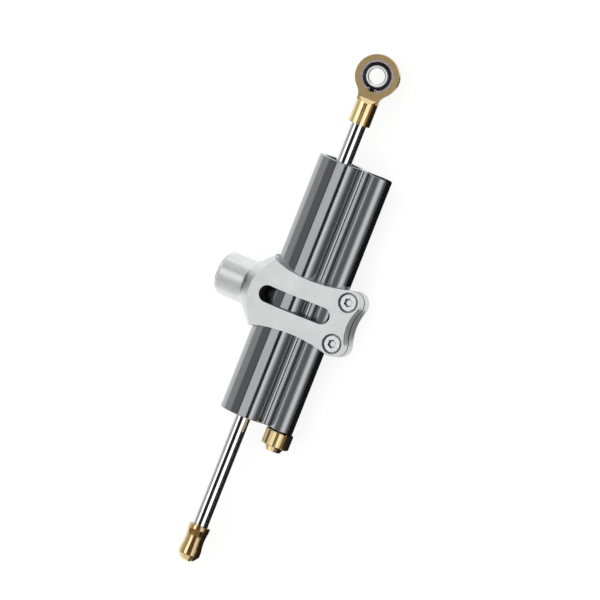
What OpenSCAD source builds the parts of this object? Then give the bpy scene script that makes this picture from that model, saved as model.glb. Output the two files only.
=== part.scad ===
// Motorcycle steering damper: a twin-barrel hydraulic damper with a through rod, a spherical
// rod end, an adjuster knob on the bypass barrel and a split clamp with a mounting boss.
// X runs along the rod towards the rod end, Y towards the mounting boss, Z out of the clamp's face.
// The origin is the centre of the rod end's ball.

/* [Rod end] */
// Diameter of the bolt bore through the ball
ball_bore_d = 8; // [6:0.1:9]
// Diameter of the bearing ball
ball_d = 13; // [12.4:0.1:14]
// Width of the ball over its two flat faces
ball_w = 8; // [7:0.1:9]
// Outer diameter of the bearing race
race_d = 16; // [15:0.1:17]
// Width of the bearing race
race_w = 5; // [4:0.1:5.4]
// Outer diameter of the eye
eye_d = 21.6; // [20:0.1:26]
// Thickness of the eye between its flat faces
eye_t = 7; // [6.6:0.1:8.4]
// Width of the neck between eye and collar
neck_w = 10.6; // [9:0.1:11]
// Radius of the concave neck fillets
neck_fillet = 7; // [4:0.1:10]
// Diameter of the collar that screws onto the rod
collar_d = 11; // [10.6:0.1:13]
// Distance from the ball's centre to the collar's open end
collar_reach = 24.9; // [23:0.1:32]
// Turn of the eye about the rod, from the clamp's face towards the ears
eye_turn = 14; // [0:1:90]

/* [Rod] */
// Diameter of the chromed rod
rod_d = 8; // [7:0.1:8.6]
// Diameter of the threaded spigot at each rod end
spigot_d = 6; // [5:0.1:6.6]
// Length of the threaded spigot at each rod end
spigot_len = 8.5; // [6:0.1:9]
// Bare rod between the collar and the body
bare_top = 19.8; // [10:0.1:30]
// Bare rod between the body and the end nut
bare_low = 58.4; // [30:0.1:70]

/* [End nut] */
// Diameter of the nut's rim and belly
nut_d = 11; // [10:0.1:14]
// Overall length of the nut
nut_len = 18.6; // [16:0.1:24]
// Length of the plain rim
nut_rim = 2.3; // [1.5:0.1:3]
// Smallest diameter of the nut's waist
nut_waist_d = 10; // [9:0.1:10]
// Distance from the rim to the narrowest place of the waist
nut_waist_run = 5; // [3.5:0.1:6]
// Height of the rounded-off end
nut_bevel = 3.4; // [2:0.1:4]
// Diameter at the bend of the rounded-off end
nut_bend_d = 7.7; // [6:0.1:9]
// Diameter of the flat at the tip
nut_tip_d = 4.2; // [2:0.1:5]
// Width of the screwdriver slot in the end
nut_slot_w = 1.3; // [0.8:0.1:2]
// Turn of the slot about the rod, from the clamp's face towards the ears
nut_slot_angle = 42; // [0:1:180]

/* [Body] */
// Length of the twin-barrel body
body_len = 132.5; // [125:0.1:160]
// Outer diameter of the main barrel
barrel_d = 24.4; // [23.4:0.1:28]
// Outer diameter of the small bypass barrel
small_d = 12; // [11.4:0.1:13]
// Distance between the two barrel axes
barrel_gap = 20.6; // [19.6:0.1:24]
// Least thickness of the web between the barrels
web_t = 6.1; // [5:0.1:7]
// Radius of the round groove on each face of the web
web_groove = 4.3; // [3.8:0.1:5]
// Bevel on the body's end edges
body_edge = 0.5; // [0.2:0.1:1]
// Diameter of the piston bore
bore_d = 17.5; // [16:0.1:18.4]
// Diameter of the gland seats at the bore's ends
gland_d = 19; // [18.5:0.1:19.6]
// Length of each gland
gland_len = 18; // [14:0.1:20]
// Diameter of the cross ports to the bypass
port_d = 2.2; // [1.4:0.1:2.6]

/* [Piston] */
// Length of the piston
piston_len = 12; // [9:0.1:14]
// Width of the piston's sealing ring
piston_ring_w = 3; // [2:0.1:4]
// Depth of the piston's ring groove
piston_groove = 1.2; // [0.8:0.1:1.8]

/* [Adjuster] */
// Diameter of the fluted knob
knob_d = 14; // [13:0.1:16]
// Length of the knob's fluted part
knob_len = 7.7; // [7:0.1:12]
// Number of finger grooves round the knob
knob_flutes = 10; // [8:1:12]
// Radius of each finger groove's round bottom
flute_r = 0.6; // [0.4:0.1:0.8]
// Depth of each finger groove
flute_depth = 1; // [0.8:0.1:1.1]
// Largest diameter of the knob's tapered tip
stub_d = 9.6; // [8:0.1:11]
// Smallest diameter of the knob's tapered tip
stub_tip_d = 7.2; // [6:0.1:8]
// Length of the knob's tapered tip
stub_len = 2.5; // [1.5:0.1:4]
// Turn of the first land between grooves, from the clamp's face towards the ears
knob_clock = 32.5; // [0:0.5:36]
// Number of detent dimples under the knob
detents = 20; // [12:1:24]
// Diameter of the screwed bush in the small barrel
bush_d = 7; // [6.8:0.1:7.4]
// Length of the screwed bush
bush_len = 10.5; // [9:0.1:12]
// Diameter of the adjuster spindle
spindle_d = 4; // [3.8:0.1:4.2]
// Diameter of the needle's threaded shank
needle_d = 3.9; // [3:0.1:4.2]
// Diameter of the throttling hole
throttle_d = 2.2; // [1.8:0.1:2.6]
// Diameter of the bypass passage
bypass_d = 5; // [4.4:0.1:5.6]
// Diameter of the plug that closes the bypass
plug_d = 7; // [6.4:0.1:7.6]
// Length of the plug
plug_len = 6; // [5:0.1:10]

/* [Clamp] */
// Distance from the body's rod-end face to the clamp's middle
clamp_from_top = 72.2; // [40:0.1:95]
// Thickness of the clamp block between its flat faces
block_t = 32; // [31:0.1:38]
// Height of the clamp at its waist
waist_h = 27.5; // [24:0.1:32]
// Distance of the narrowest place from the rod axis, towards the ears
waist_at = 11; // [8:0.1:14]
// Wall outside the small barrel
ear_wall = 3; // [2.4:0.1:4]
// Thickness over both clamp ears
ear_t = 14; // [12.6:0.1:16]
// Radius of the ear lobes
ear_r = 6; // [5.6:0.1:7]
// Clear metal between the small barrel and the clamp bolts
bolt_land = 1.9; // [1:0.1:6]
// Distance between the two clamp bolts
bolt_pitch = 21.5; // [19:0.1:25]
// Width of the split between the ears
split_w = 1.2; // [0.8:0.1:2.4]
// Depth of the scallop between the front lobes
scallop_front = 2.3; // [2.1:0.1:4]
// Depth of the scallop between the back lobes
scallop_back = 1.9; // [0.8:0.1:2]
// Width of the long window in each clamp face
window_w = 8.4; // [5:0.1:10]
// Reach of the window from the rod axis towards the boss
window_boss = 10.4; // [6:0.1:12]
// Reach of the window from the rod axis towards the ears
window_ears = 25.4; // [20:0.1:26]
// Diameter of the mounting boss
boss_d = 21.8; // [18:0.1:26]
// Distance from the rod axis to the boss's end face
boss_reach = 37.2; // [34:0.1:46]
// Bevel on the boss's end
boss_bevel = 2.2; // [0.5:0.1:3]
// Fillet between the boss and the cone of the block
boss_fillet = 6; // [3:0.1:8]
// Distance from the rod axis at which the cone of the block would reach a point
cone_apex = 32; // [30:0.1:36]
// Tapping diameter of the boss's mounting thread
boss_hole_d = 6.8; // [5:0.1:8.5]
// Depth of the boss's mounting thread
boss_hole_depth = 17; // [10:0.1:19]
// Thread diameter of the clamp bolts
bolt_d = 5; // [4:0.1:5.4]
// Head diameter of the clamp bolts
bolt_head_d = 8.5; // [7.6:0.1:9]
// Head height of the clamp bolts
bolt_head_h = 3.2; // [2.4:0.1:3.6]

/* [Fits] */
// Radial clearance of pieces that slide or turn
run_fit = 0.03; // [0.01:0.01:0.08]
// Radial clearance of pieces that are pressed or screwed together
seat_fit = 0.02; // [0.01:0.01:0.04]
// Radial clearance between the piston's skirt and the bore
skirt_fit = 0.15; // [0.1:0.01:0.3]
// Gap between the body and the knob
knob_gap = 0.4; // [0.3:0.1:0.8]

/* [Hidden] */
$fn = 64;
// Overshoot of cutting tools beyond the faces that they cut
over = 1;
// Sink of a fillet's tool into the two walls that it blends, so that it crosses both cleanly
blend_sink = 0.01;
// Radii
rod_r = rod_d / 2;
barrel_r = barrel_d / 2;
small_r = small_d / 2;
bore_r = bore_d / 2;
gland_r = gland_d / 2;
// Centre of the web's groove in (y, z), so that it touches the main barrel
groove_z = web_t / 2 + web_groove;
groove_at = [-sqrt(pow(barrel_r + web_groove, 2) - pow(groove_z, 2)), groove_z];
// Stations along the rod
body_top_x = -collar_reach - bare_top;
body_low_x = body_top_x - body_len;
nut_top_x = body_low_x - bare_low;
clamp_x = body_top_x - clamp_from_top;
// Gland seat, counted inwards from a body end
lip = 1;
clip_t = 1;
clip_groove = 0.6;
clip_wall = 1.7;
clip_gap = 24;
clip_lug_r = 1.3;
clip_eye_r = 0.6;
lug_inset = 0.3;
axial_play = 0.1;
gland_s = lip + clip_t + axial_play;
seat_depth = gland_s + gland_len;
chamber_low_x = body_low_x + seat_depth;
chamber_top_x = body_top_x - seat_depth;
mouth_bevel = 0.4;
// Rod bush, rod seal and gland ring
bush_wall = 1;
rod_bush_len = 9;
seal_wall = 2.4;
seal_r = rod_r + seal_wall;
seal_len = 4;
seal_lip = 0.7;
rod_clear = 0.2;
ring_section = 0.75;
gland_ring_s = 11;
// Bevel on the rod's spigots
spigot_bevel = 0.6;
// Piston stack between its two clips
shaft_clip_t = 0.8;
shaft_clip_groove = 0.5;
shaft_clip_wall = 1.6;
stop_room = 0.9;
piston_x = chamber_low_x + bare_top + stop_room + shaft_clip_t + piston_len / 2;
// Bearing seat in the eye
seat_lip = 0.9;
race_clip_t = 0.6;
race_clip_wall = 0.9;
race_clip_groove = 0.4;
race_clip_gap = 20;
race_lug_r = 0.8;
race_lug_eye_r = 0.35;
race_bevel = 0.3;
ball_bevel = 0.4;
// Scarf from the eye's flat to the collar
scarf_x = 11.8;
scarf_run = 2.2;
neck_land = 0.6;
// End nut's edge bevel and the height of the bend in its rounded-off end
nut_edge = 0.3;
nut_bend_h = 1;
// Adjuster stations, counted inwards from the body's lower end
bush_s = 0.5;
bush_end_s = bush_s + bush_len;
bush_bevel = 0.3;
bush_ring_s = bush_end_s - 2.5;
flange_t = 1.6;
flange_clear = 0.4;
flange_r = bush_d / 2 - flange_clear;
flange_s = bush_end_s + 2 * axial_play;
flange_end_s = flange_s + flange_t;
spindle_ring_s = bush_s + 2;
needle_room = 0.6;
pocket_s = flange_end_s + 2 * needle_room;
throat_len = 9;
throttle_s = pocket_s + throat_len;
throttle_len = 2;
bypass_s = throttle_s + throttle_len;
port_land = 0.4;
low_port_s = throttle_s - port_d / 2 - port_land;
shank_s = pocket_s + needle_room;
shank_len = 5;
hex_tail_w = 1.75;
hex_play = 0.08;
tail_len = 6.5;
spindle_in_knob = 6.4;
small_ring_section = 0.32;
bush_ring_section = 0.4;
needle_stem_r = throttle_d / 2 + axial_play;
needle_tip_r = 0.3;
cone_lead = 1;
cone_s = throttle_s - cone_lead;
cone_len = 2.6;
// Plug, counted from the body's lower end
plug_end_s = body_len - lip / 2;
plug_s = plug_end_s - plug_len;
plug_ring_s = plug_s + 1.6;
plug_key_w = 3;
plug_key_depth = 2.5;
// Detent under the knob
detent_wall = 0.85;
detent_ball_r = 1;
detent_clear = 0.05;
detent_hole_r = detent_ball_r + detent_clear;
detent_reach = bush_d / 2 + detent_wall + detent_hole_r;
detent_touch = 0.05;
detent_depth = 6.4;
dimple_r = 0.9;
dimple_depth = 0.25;
spring_clear = 0.1;
spring_wire = 0.34;
spring_turns = 5;
spring_steps = 8;
ball_s = detent_touch - knob_gap + detent_ball_r;
spring_s = ball_s + detent_ball_r + spring_wire / 2;
spring_len = detent_depth - spring_s - spring_wire;
spring_r = detent_hole_r - spring_clear - spring_wire / 2;
spring_count = spring_turns * spring_steps;
spring_sides = 6;
// Knob
knob_bevel = 0.4;
grub_r = 1.25;
grub_len = 3.4;
grub_turn = 360 / knob_flutes * floor(knob_flutes / 2);
grub_key_w = 1.2;
grub_key_depth = 1.4;
// Clamp
clamp_fit = 0.05;
boss_r = boss_d / 2;
block_half = block_t / 2;
ear_half = ear_t / 2;
far = 60;
face_slope = asin((block_half - small_r - ear_wall) / barrel_gap);
ear_flat_y = -(block_half - ear_half * cos(face_slope)) / sin(face_slope);
bolt_reach = barrel_gap + small_r + bolt_d / 2 + bolt_land;
lobe_u = bolt_pitch / 2;
waist_half = waist_h / 2;
waist_dy = bolt_reach - waist_at;
// The waist arc touches both the waist height and the lobe
waist_lift = waist_half - lobe_u;
waist_r = (pow(waist_lift, 2) + pow(waist_dy, 2) - pow(ear_r, 2)) / (2 * (ear_r - waist_lift));
waist_u = waist_half + waist_r;
head_recess = 0.2;
counterbore_clear = 0.75;
counterbore_r = bolt_head_d / 2 + counterbore_clear;
counterbore_depth = bolt_head_h + head_recess;
bolt_clear = 0.25;
bolt_end = 1.2;
bolt_key_w = 4;
bolt_key_depth = 1.9;
bolt_bevel = 0.4;
boss_mouth = 1;
boss_tip_r = 0.5;

// Frames and shared shapes

// Bar of radius r along X, from station x0 to x1
module bar_x(x0, x1, r) {
    translate([x0, 0, 0]) rotate([0, 90, 0]) cylinder(h = x1 - x0, r = r);
}

// Turns a profile of [radius, x] points about X
module turned_x() {
    rotate([0, 90, 0]) rotate_extrude() children();
}

// Extrudes a (y, z) outline along X from x0 to x1
module prism_x(x0, x1) {
    translate([x0, 0, 0]) rotate([90, 0, 90]) linear_extrude(x1 - x0) children();
}

// Places a shape drawn inwards from the body's upper end face
module at_top() {
    translate([body_top_x, 0, 0]) mirror([1, 0, 0]) children();
}

// Places a shape drawn inwards from the body's lower end face
module at_low() {
    translate([body_low_x, 0, 0]) children();
}

// Moves a shape from the rod axis to the small barrel's axis
module on_small() {
    translate([0, -barrel_gap, 0]) children();
}

// Turns a shape about the X axis, from the clamp's face towards the ears
module clocked(angle) {
    rotate([angle, 0, 0]) children();
}

// Round ring of a circular section that touches radius r from inside
module ring_under(r, section, s) {
    turned_x() translate([r - seat_fit - section, s]) circle(r = section);
}

// Groove for such a ring
module ring_groove(r, section, s) {
    depth = 2 * section + 2 * seat_fit;
    half = section + axial_play;
    turned_x() translate([r - depth, s - half]) square([depth + over, 2 * half]);
}

// Rectangle of a turned ring, between two radii and two stations
module ring_box(r0, r1, s0, s1) {
    turned_x() translate([r0, s0]) square([r1 - r0, s1 - s0]);
}

// Cylinder with both end edges bevelled
module bevelled_bar(s0, s1, r, bevel) {
    turned_x() polygon([
        [0, s0], [r - bevel, s0], [r, s0 + bevel],
        [r, s1 - bevel], [r - bevel, s1], [0, s1]
    ]);
}

// Corner radius of a hexagon from its width across the flats
function hex_r(w) = w / sqrt(3);

// Hexagonal bar along X, w across the flats
module hex_x(x0, x1, w) {
    translate([x0, 0, 0]) rotate([0, 90, 0]) cylinder(h = x1 - x0, r = hex_r(w), $fn = 6);
}

// Flat split ring with two plier lugs, for a bore
module bore_clip(r_out, wall, t, lug_r, hole_r, gap) {
    lug_at = r_out - lug_r - lug_inset;
    lug_turn = gap / 2 + asin((lug_r + hole_r) / 2 / lug_at);
    linear_extrude(t) difference() {
        union() {
            difference() {
                circle(r = r_out);
                circle(r = r_out - wall);
            }
            for (side = [-1, 1]) rotate(side * lug_turn) translate([lug_at, 0]) circle(r = lug_r);
        }
        polygon([[0, 0], for (a = [-gap, gap]) 2 * r_out * [cos(a / 2), sin(a / 2)]]);
        for (side = [-1, 1]) rotate(side * lug_turn) translate([lug_at, 0]) circle(r = hole_r);
    }
}

// Web between the barrels in (y, z), grown by extra
module web_outline(extra) {
    touch = groove_at * (barrel_r + extra) / (barrel_r + web_groove);
    root = [-barrel_gap, web_t / 2];
    difference() {
        polygon([touch, root, [root[0], -root[1]], [touch[0], -touch[1]]]);
        for (side = [-1, 1]) translate([groove_at[0], side * groove_at[1]])
            circle(r = web_groove - extra + blend_sink);
    }
}

// Twin-barrel outline in (y, z), grown by extra
module barrel_outline(extra) {
    circle(r = barrel_r + extra);
    translate([-barrel_gap, 0]) circle(r = small_r + extra);
    web_outline(extra);
}

// Body

// Bore, gland seat, clip groove and bevelled mouth of one end of the main barrel
module gland_seat() {
    bar_x(-over, seat_depth, gland_r);
    bar_x(lip, lip + clip_t + axial_play, gland_r + clip_groove);
    turned_x() polygon([
        [0, -over], [gland_r + mouth_bevel + over, -over], [gland_r, mouth_bevel], [0, mouth_bevel]
    ]);
}

// Passages of the small barrel, counted from the lower end
module bypass_passages() {
    on_small() {
        bar_x(-over, pocket_s, bush_d / 2);
        bar_x(pocket_s - over, throttle_s, needle_d / 2 + run_fit);
        bar_x(throttle_s - over, bypass_s + over, throttle_d / 2);
        bar_x(bypass_s, body_len, bypass_d / 2);
        bar_x(plug_s - lip / 2, body_len + over, plug_d / 2);
    }
    for (s = [low_port_s, body_len - seat_depth - port_d])
        translate([s, -barrel_gap, 0]) rotate([-90, 0, 0]) cylinder(h = barrel_gap, r = port_d / 2);
}

// Blind hole for the detent's spring and ball
module detent_hole() {
    translate([0, detent_reach - barrel_gap, 0]) bar_x(-over, detent_depth, detent_hole_r);
}

module damper_body() {
    color("#46474c") difference() {
        at_low() {
            bevelled_bar(0, body_len, barrel_r, body_edge);
            on_small() bevelled_bar(0, body_len, small_r, body_edge);
            prism_x(body_edge, body_len - body_edge) web_outline(0);
            prism_x(0, body_len) web_outline(-body_edge);
        }
        bar_x(body_low_x, body_top_x, bore_r);
        at_top() gland_seat();
        at_low() gland_seat();
        at_low() bypass_passages();
        at_low() detent_hole();
    }
}

// Glands with their bushes, seals, rings and clips, drawn inwards from a body end

module gland() {
    color("#8d8f94") difference() {
        bevelled_bar(gland_s, gland_s + gland_len, gland_r - seat_fit, mouth_bevel);
        bar_x(0, seat_depth + over, rod_r + rod_clear);
        bar_x(seat_depth - rod_bush_len, seat_depth + over, rod_r + run_fit + bush_wall);
        bar_x(0, gland_s + seal_len, seal_r);
        ring_groove(gland_r, ring_section, gland_ring_s);
    }
}

module rod_bush() {
    color("#a9773c") ring_box(
        rod_r + run_fit, rod_r + run_fit + bush_wall - seat_fit, seat_depth - rod_bush_len, seat_depth);
}

module rod_seal() {
    color("#1d1d1f") turned_x() difference() {
        translate([rod_r + run_fit, gland_s])
            square([seal_r - seat_fit - rod_r - run_fit, seal_len]);
        polygon([
            [rod_r + seal_lip, gland_s - over], [seal_r - seal_lip, gland_s - over],
            [seal_r - seal_lip, gland_s + seal_lip], [rod_r + 2 * seal_lip, gland_s + seal_lip]
        ]);
    }
}

module upper_gland() { at_top() gland(); }
module lower_gland() { at_low() gland(); }
module upper_rod_bush() { at_top() rod_bush(); }
module lower_rod_bush() { at_low() rod_bush(); }
module upper_rod_seal() { at_top() rod_seal(); }
module lower_rod_seal() { at_low() rod_seal(); }

module gland_o_rings() {
    color("#1d1d1f") {
        at_top() ring_under(gland_r, ring_section, gland_ring_s);
        at_low() ring_under(gland_r, ring_section, gland_ring_s);
    }
}

module gland_clip() {
    translate([lip + axial_play / 2, 0, 0]) rotate([0, 90, 0])
        bore_clip(gland_r + clip_groove - seat_fit, clip_wall, clip_t, clip_lug_r, clip_eye_r, clip_gap);
}

module gland_circlips() {
    color("#55565a") {
        at_top() gland_clip();
        at_low() gland_clip();
    }
}

// Rod with its piston

// Groove of one shaft clip beside the piston, on the side given by -1 or 1
module shaft_clip_at(side, r0, r1, t) {
    at = piston_x + side * (piston_len / 2 + shaft_clip_t / 2);
    ring_box(r0, r1, at - t / 2, at + t / 2);
}

module piston_rod() {
    color("#d9dbde") difference() {
        union() {
            bar_x(nut_top_x, -collar_reach, rod_r);
            bevelled_bar(
                nut_top_x - spigot_len, spigot_len - collar_reach, spigot_d / 2, spigot_bevel);
        }
        for (side = [-1, 1])
            shaft_clip_at(side, rod_r - shaft_clip_groove, rod_r + over, shaft_clip_t);
    }
}

module piston() {
    groove_half = piston_ring_w / 2 + axial_play / 2;
    color("#8d8f94") difference() {
        bevelled_bar(
            piston_x - piston_len / 2, piston_x + piston_len / 2, bore_r - skirt_fit, mouth_bevel);
        bar_x(piston_x - piston_len, piston_x + piston_len, rod_r + seat_fit);
        ring_box(bore_r - skirt_fit - piston_groove, bore_r + over,
            piston_x - groove_half, piston_x + groove_half);
    }
}

module piston_ring() {
    color("#e9e4d6") ring_box(bore_r - skirt_fit - piston_groove + run_fit, bore_r - run_fit,
        piston_x - piston_ring_w / 2, piston_x + piston_ring_w / 2);
}

module piston_circlips() {
    color("#55565a") for (side = [-1, 1])
        shaft_clip_at(side, rod_r - shaft_clip_groove, rod_r + shaft_clip_wall, shaft_clip_t);
}

// Rod end with its spherical bearing

// Plan of the eye and its filleted neck, in (x, y)
module eye_plan() {
    eye_r = eye_d / 2;
    neck = neck_w / 2;
    fillet_y = neck + neck_fillet;
    fillet_x = -sqrt(pow(eye_r + neck_fillet, 2) - pow(fillet_y, 2));
    touch = [fillet_x, fillet_y] * eye_r / (eye_r + neck_fillet);
    neck_x = min(fillet_x, -scarf_x) - neck_land;
    circle(r = eye_r);
    difference() {
        polygon([
            touch, [fillet_x, neck], [neck_x, neck],
            [neck_x, -neck], [fillet_x, -neck], [touch[0], -touch[1]]
        ]);
        for (side = [-1, 1]) translate([fillet_x, side * fillet_y])
            circle(r = neck_fillet + blend_sink);
    }
}

// Collar, scarfed down to the eye's thickness
module collar() {
    intersection() {
        bar_x(-collar_reach, -scarf_x, collar_d / 2);
        translate([0, collar_d, 0]) rotate([90, 0, 0]) linear_extrude(2 * collar_d) polygon([
            [-scarf_x, eye_t / 2], [-scarf_x, -eye_t / 2],
            [-scarf_x - scarf_run, -collar_d / 2], [-collar_reach - over, -collar_d / 2],
            [-collar_reach - over, collar_d / 2], [-scarf_x - scarf_run, collar_d / 2]
        ]);
    }
}

module rod_end() {
    race_seat = race_d / 2 + seat_fit;
    color("#b79a5e") clocked(eye_turn) difference() {
        union() {
            translate([0, 0, -eye_t / 2]) linear_extrude(eye_t) eye_plan();
            collar();
        }
        translate([0, 0, -race_w / 2]) cylinder(h = eye_t, r = race_seat);
        translate([0, 0, -eye_t]) cylinder(h = 2 * eye_t, r = race_seat - seat_lip);
        translate([0, 0, race_w / 2])
            cylinder(h = race_clip_t + axial_play, r = race_seat + race_clip_groove);
        bar_x(-collar_reach - over, spigot_len + axial_play - collar_reach, spigot_d / 2 + seat_fit);
    }
}

module bearing_race() {
    half = race_w / 2;
    r = race_d / 2;
    color("#9a98a4") clocked(eye_turn) rotate_extrude() difference() {
        polygon([
            [ball_d / 4, -half], [r - race_bevel, -half], [r, race_bevel - half],
            [r, half - race_bevel], [r - race_bevel, half], [ball_d / 4, half]
        ]);
        circle(r = ball_d / 2 + run_fit);
    }
}

module bearing_circlip() {
    color("#55565a") clocked(eye_turn) translate([0, 0, race_w / 2 + axial_play / 2])
        rotate(180) bore_clip(race_d / 2 + race_clip_groove, race_clip_groove + race_clip_wall,
            race_clip_t, race_lug_r, race_lug_eye_r, race_clip_gap);
}

module bearing_ball() {
    half = ball_w / 2;
    bore = ball_bore_d / 2;
    color("#c9cacd") clocked(eye_turn) rotate_extrude() intersection() {
        circle(r = ball_d / 2);
        polygon([
            [bore + ball_bevel, -half], [ball_d, -half], [ball_d, half], [bore + ball_bevel, half],
            [bore, half - ball_bevel], [bore, ball_bevel - half]
        ]);
    }
}

// End nut on the lower end of the rod

module end_nut() {
    r = nut_d / 2;
    low = nut_top_x - nut_len;
    waist_x = nut_top_x - nut_rim - nut_waist_run;
    belly_x = low + nut_bevel;
    dip = r - nut_waist_d / 2;
    arc_r = (pow(nut_waist_run, 2) + pow(dip, 2)) / (2 * dip);
    color("#b79a5e") difference() {
        turned_x() difference() {
            polygon([
                [0, nut_top_x], [r - nut_edge, nut_top_x], [r, nut_top_x - nut_edge], [r, belly_x],
                [nut_bend_d / 2, low + nut_bend_h], [nut_tip_d / 2, low], [0, low]
            ]);
            translate([nut_waist_d / 2 + arc_r, waist_x]) circle(r = arc_r);
        }
        bar_x(nut_top_x - spigot_len - axial_play, nut_top_x + over, spigot_d / 2 + seat_fit);
        clocked(nut_slot_angle) translate([low - over, -nut_slot_w / 2, -nut_d])
            cube([over + nut_bevel, nut_slot_w, 2 * nut_d]);
    }
}

// Adjuster, drawn inwards from the lower end of the small barrel

// Outline of the knob with its finger grooves, in (y, z)
module knob_outline() {
    r = knob_d / 2;
    difference() {
        circle(r = r);
        for (i = [0 : knob_flutes - 1]) rotate(90 + knob_clock + (i + 0.5) * 360 / knob_flutes)
            translate([r - flute_depth + flute_r, 0]) {
                circle(r = flute_r);
                translate([0, -flute_r]) square([flute_depth, 2 * flute_r]);
            }
    }
}

module adjuster_knob() {
    face = -knob_gap;
    low = face - knob_len;
    color("#b79a5e") at_low() on_small() difference() {
        union() {
            intersection() {
                prism_x(low, face) knob_outline();
                bevelled_bar(low, face, knob_d / 2, knob_bevel);
            }
            turned_x() polygon([
                [0, low + over], [stub_d / 2, low + over], [stub_d / 2, low],
                [stub_tip_d / 2, low - stub_len], [0, low - stub_len]
            ]);
        }
        bar_x(face - spindle_in_knob - axial_play, face + over, spindle_d / 2 + seat_fit);
        clocked(knob_clock + grub_turn) translate([face - knob_len / 2, 0, 0])
            cylinder(h = knob_d, r = grub_r);
        for (i = [0 : detents - 1]) clocked(90 + i * 360 / detents)
            translate([face + dimple_r - dimple_depth, 0, detent_reach]) sphere(r = dimple_r);
    }
}

module knob_grub_screw() {
    foot = spindle_d / 2 + seat_fit;
    color("#3a3b3e") at_low() on_small() clocked(knob_clock + grub_turn)
        translate([-knob_gap - knob_len / 2, 0, 0]) difference() {
            translate([0, 0, foot]) cylinder(h = grub_len, r = grub_r - seat_fit);
            translate([0, 0, foot + grub_len - grub_key_depth])
                cylinder(h = grub_key_depth + over, r = hex_r(grub_key_w), $fn = 6);
        }
}

module adjuster_spindle() {
    color("#b8babd") at_low() on_small() difference() {
        union() {
            bar_x(-knob_gap - spindle_in_knob, flange_end_s, spindle_d / 2);
            bar_x(flange_s, flange_end_s, flange_r);
        }
        hex_x(shank_s - tail_len - over, flange_end_s + over, hex_tail_w + 2 * hex_play);
        ring_groove(spindle_d / 2 + run_fit, small_ring_section, spindle_ring_s);
    }
}

module spindle_o_ring() {
    color("#1d1d1f") at_low() on_small()
        ring_under(spindle_d / 2 + run_fit, small_ring_section, spindle_ring_s);
}

module adjuster_bush() {
    color("#a9773c") at_low() on_small() difference() {
        bevelled_bar(bush_s, bush_end_s, bush_d / 2 - seat_fit, bush_bevel);
        bar_x(0, bush_end_s + over, spindle_d / 2 + run_fit);
        ring_groove(bush_d / 2, bush_ring_section, bush_ring_s);
    }
}

module bush_o_ring() {
    color("#1d1d1f") at_low() on_small()
        ring_under(bush_d / 2, bush_ring_section, bush_ring_s);
}

module adjuster_needle() {
    shank_end = shank_s + shank_len;
    color("#c4a04f") at_low() on_small() {
        turned_x() polygon([
            [0, shank_s], [needle_d / 2, shank_s], [needle_d / 2, shank_end],
            [needle_stem_r, shank_end], [needle_stem_r, cone_s],
            [needle_tip_r, cone_s + cone_len], [0, cone_s + cone_len]
        ]);
        hex_x(shank_s - tail_len, shank_s + over, hex_tail_w);
    }
}

module bypass_plug() {
    color("#6d6e73") at_low() on_small() difference() {
        bevelled_bar(plug_s, plug_end_s, plug_d / 2 - seat_fit, bush_bevel);
        hex_x(plug_end_s - plug_key_depth, plug_end_s + over, plug_key_w);
        ring_groove(plug_d / 2, bush_ring_section, plug_ring_s);
    }
}

module plug_o_ring() {
    color("#1d1d1f") at_low() on_small() ring_under(plug_d / 2, bush_ring_section, plug_ring_s);
}

// Detent ball and its coil spring

module on_detent() {
    at_low() translate([0, detent_reach - barrel_gap, 0]) children();
}

// Point of the wire's surface: ring i along the coil, corner j round the wire
function wire_point(i, j) =
    let (turn = 360 * i / spring_steps, round = 360 * j / spring_sides)
    let (r = spring_r + spring_wire / 2 * cos(round))
    [
        spring_s + spring_len * i / spring_count + spring_wire / 2 * sin(round),
        r * cos(turn),
        r * sin(turn)
    ];

function wire_index(i, j) = i * spring_sides + j % spring_sides;

module detent_ball() {
    color("#b8babd") on_detent() translate([ball_s, 0, 0]) sphere(r = detent_ball_r);
}

module detent_spring() {
    points = [for (i = [0 : spring_count], j = [0 : spring_sides - 1]) wire_point(i, j)];
    sides = [for (i = [0 : spring_count - 1], j = [0 : spring_sides - 1]) each [
        [wire_index(i, j), wire_index(i + 1, j), wire_index(i + 1, j + 1)],
        [wire_index(i, j), wire_index(i + 1, j + 1), wire_index(i, j + 1)]
    ]];
    caps = [for (j = [1 : spring_sides - 2]) each [
        [wire_index(0, 0), wire_index(0, j), wire_index(0, j + 1)],
        [wire_index(spring_count, 0), wire_index(spring_count, j + 1), wire_index(spring_count, j)]
    ]];
    color("#8d8f94") on_detent() polyhedron(points = points, faces = concat(sides, caps));
}

// Clamp, drawn about the rod axis with its middle at x = 0

// Centre distance and radius of a scallop that touches both lobes and is depth deep
function scallop_r(depth) =
    (pow(lobe_u, 2) + pow(ear_r - depth, 2) - pow(ear_r, 2)) / (2 * depth);

module scallop(depth) {
    r = scallop_r(depth);
    translate([0, depth - ear_r - bolt_reach - r]) circle(r = r + blend_sink);
}

// Plan of the clamp in (x, y): waist arcs, two lobes and the scallop between them
module clamp_plan() {
    lobe_touch = [lobe_u, -bolt_reach]
        + ear_r * [waist_u - lobe_u, waist_dy] / (waist_r + ear_r);
    r = scallop_r(scallop_back);
    scallop_y = scallop_back - ear_r - bolt_reach - r;
    end_touch = [lobe_u, -bolt_reach] + ear_r * [-lobe_u, scallop_y + bolt_reach] / (r + ear_r);
    difference() {
        union() {
            translate([-far, lobe_touch[1]]) square([2 * far, far - lobe_touch[1]]);
            polygon([lobe_touch, [-lobe_touch[0], lobe_touch[1]],
                [-end_touch[0], end_touch[1]], end_touch]);
            for (side = [-1, 1]) translate([side * lobe_u, -bolt_reach]) circle(r = ear_r);
        }
        for (side = [-1, 1]) translate([side * waist_u, -waist_at])
            circle(r = waist_r + blend_sink);
        scallop(scallop_back);
    }
}

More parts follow.
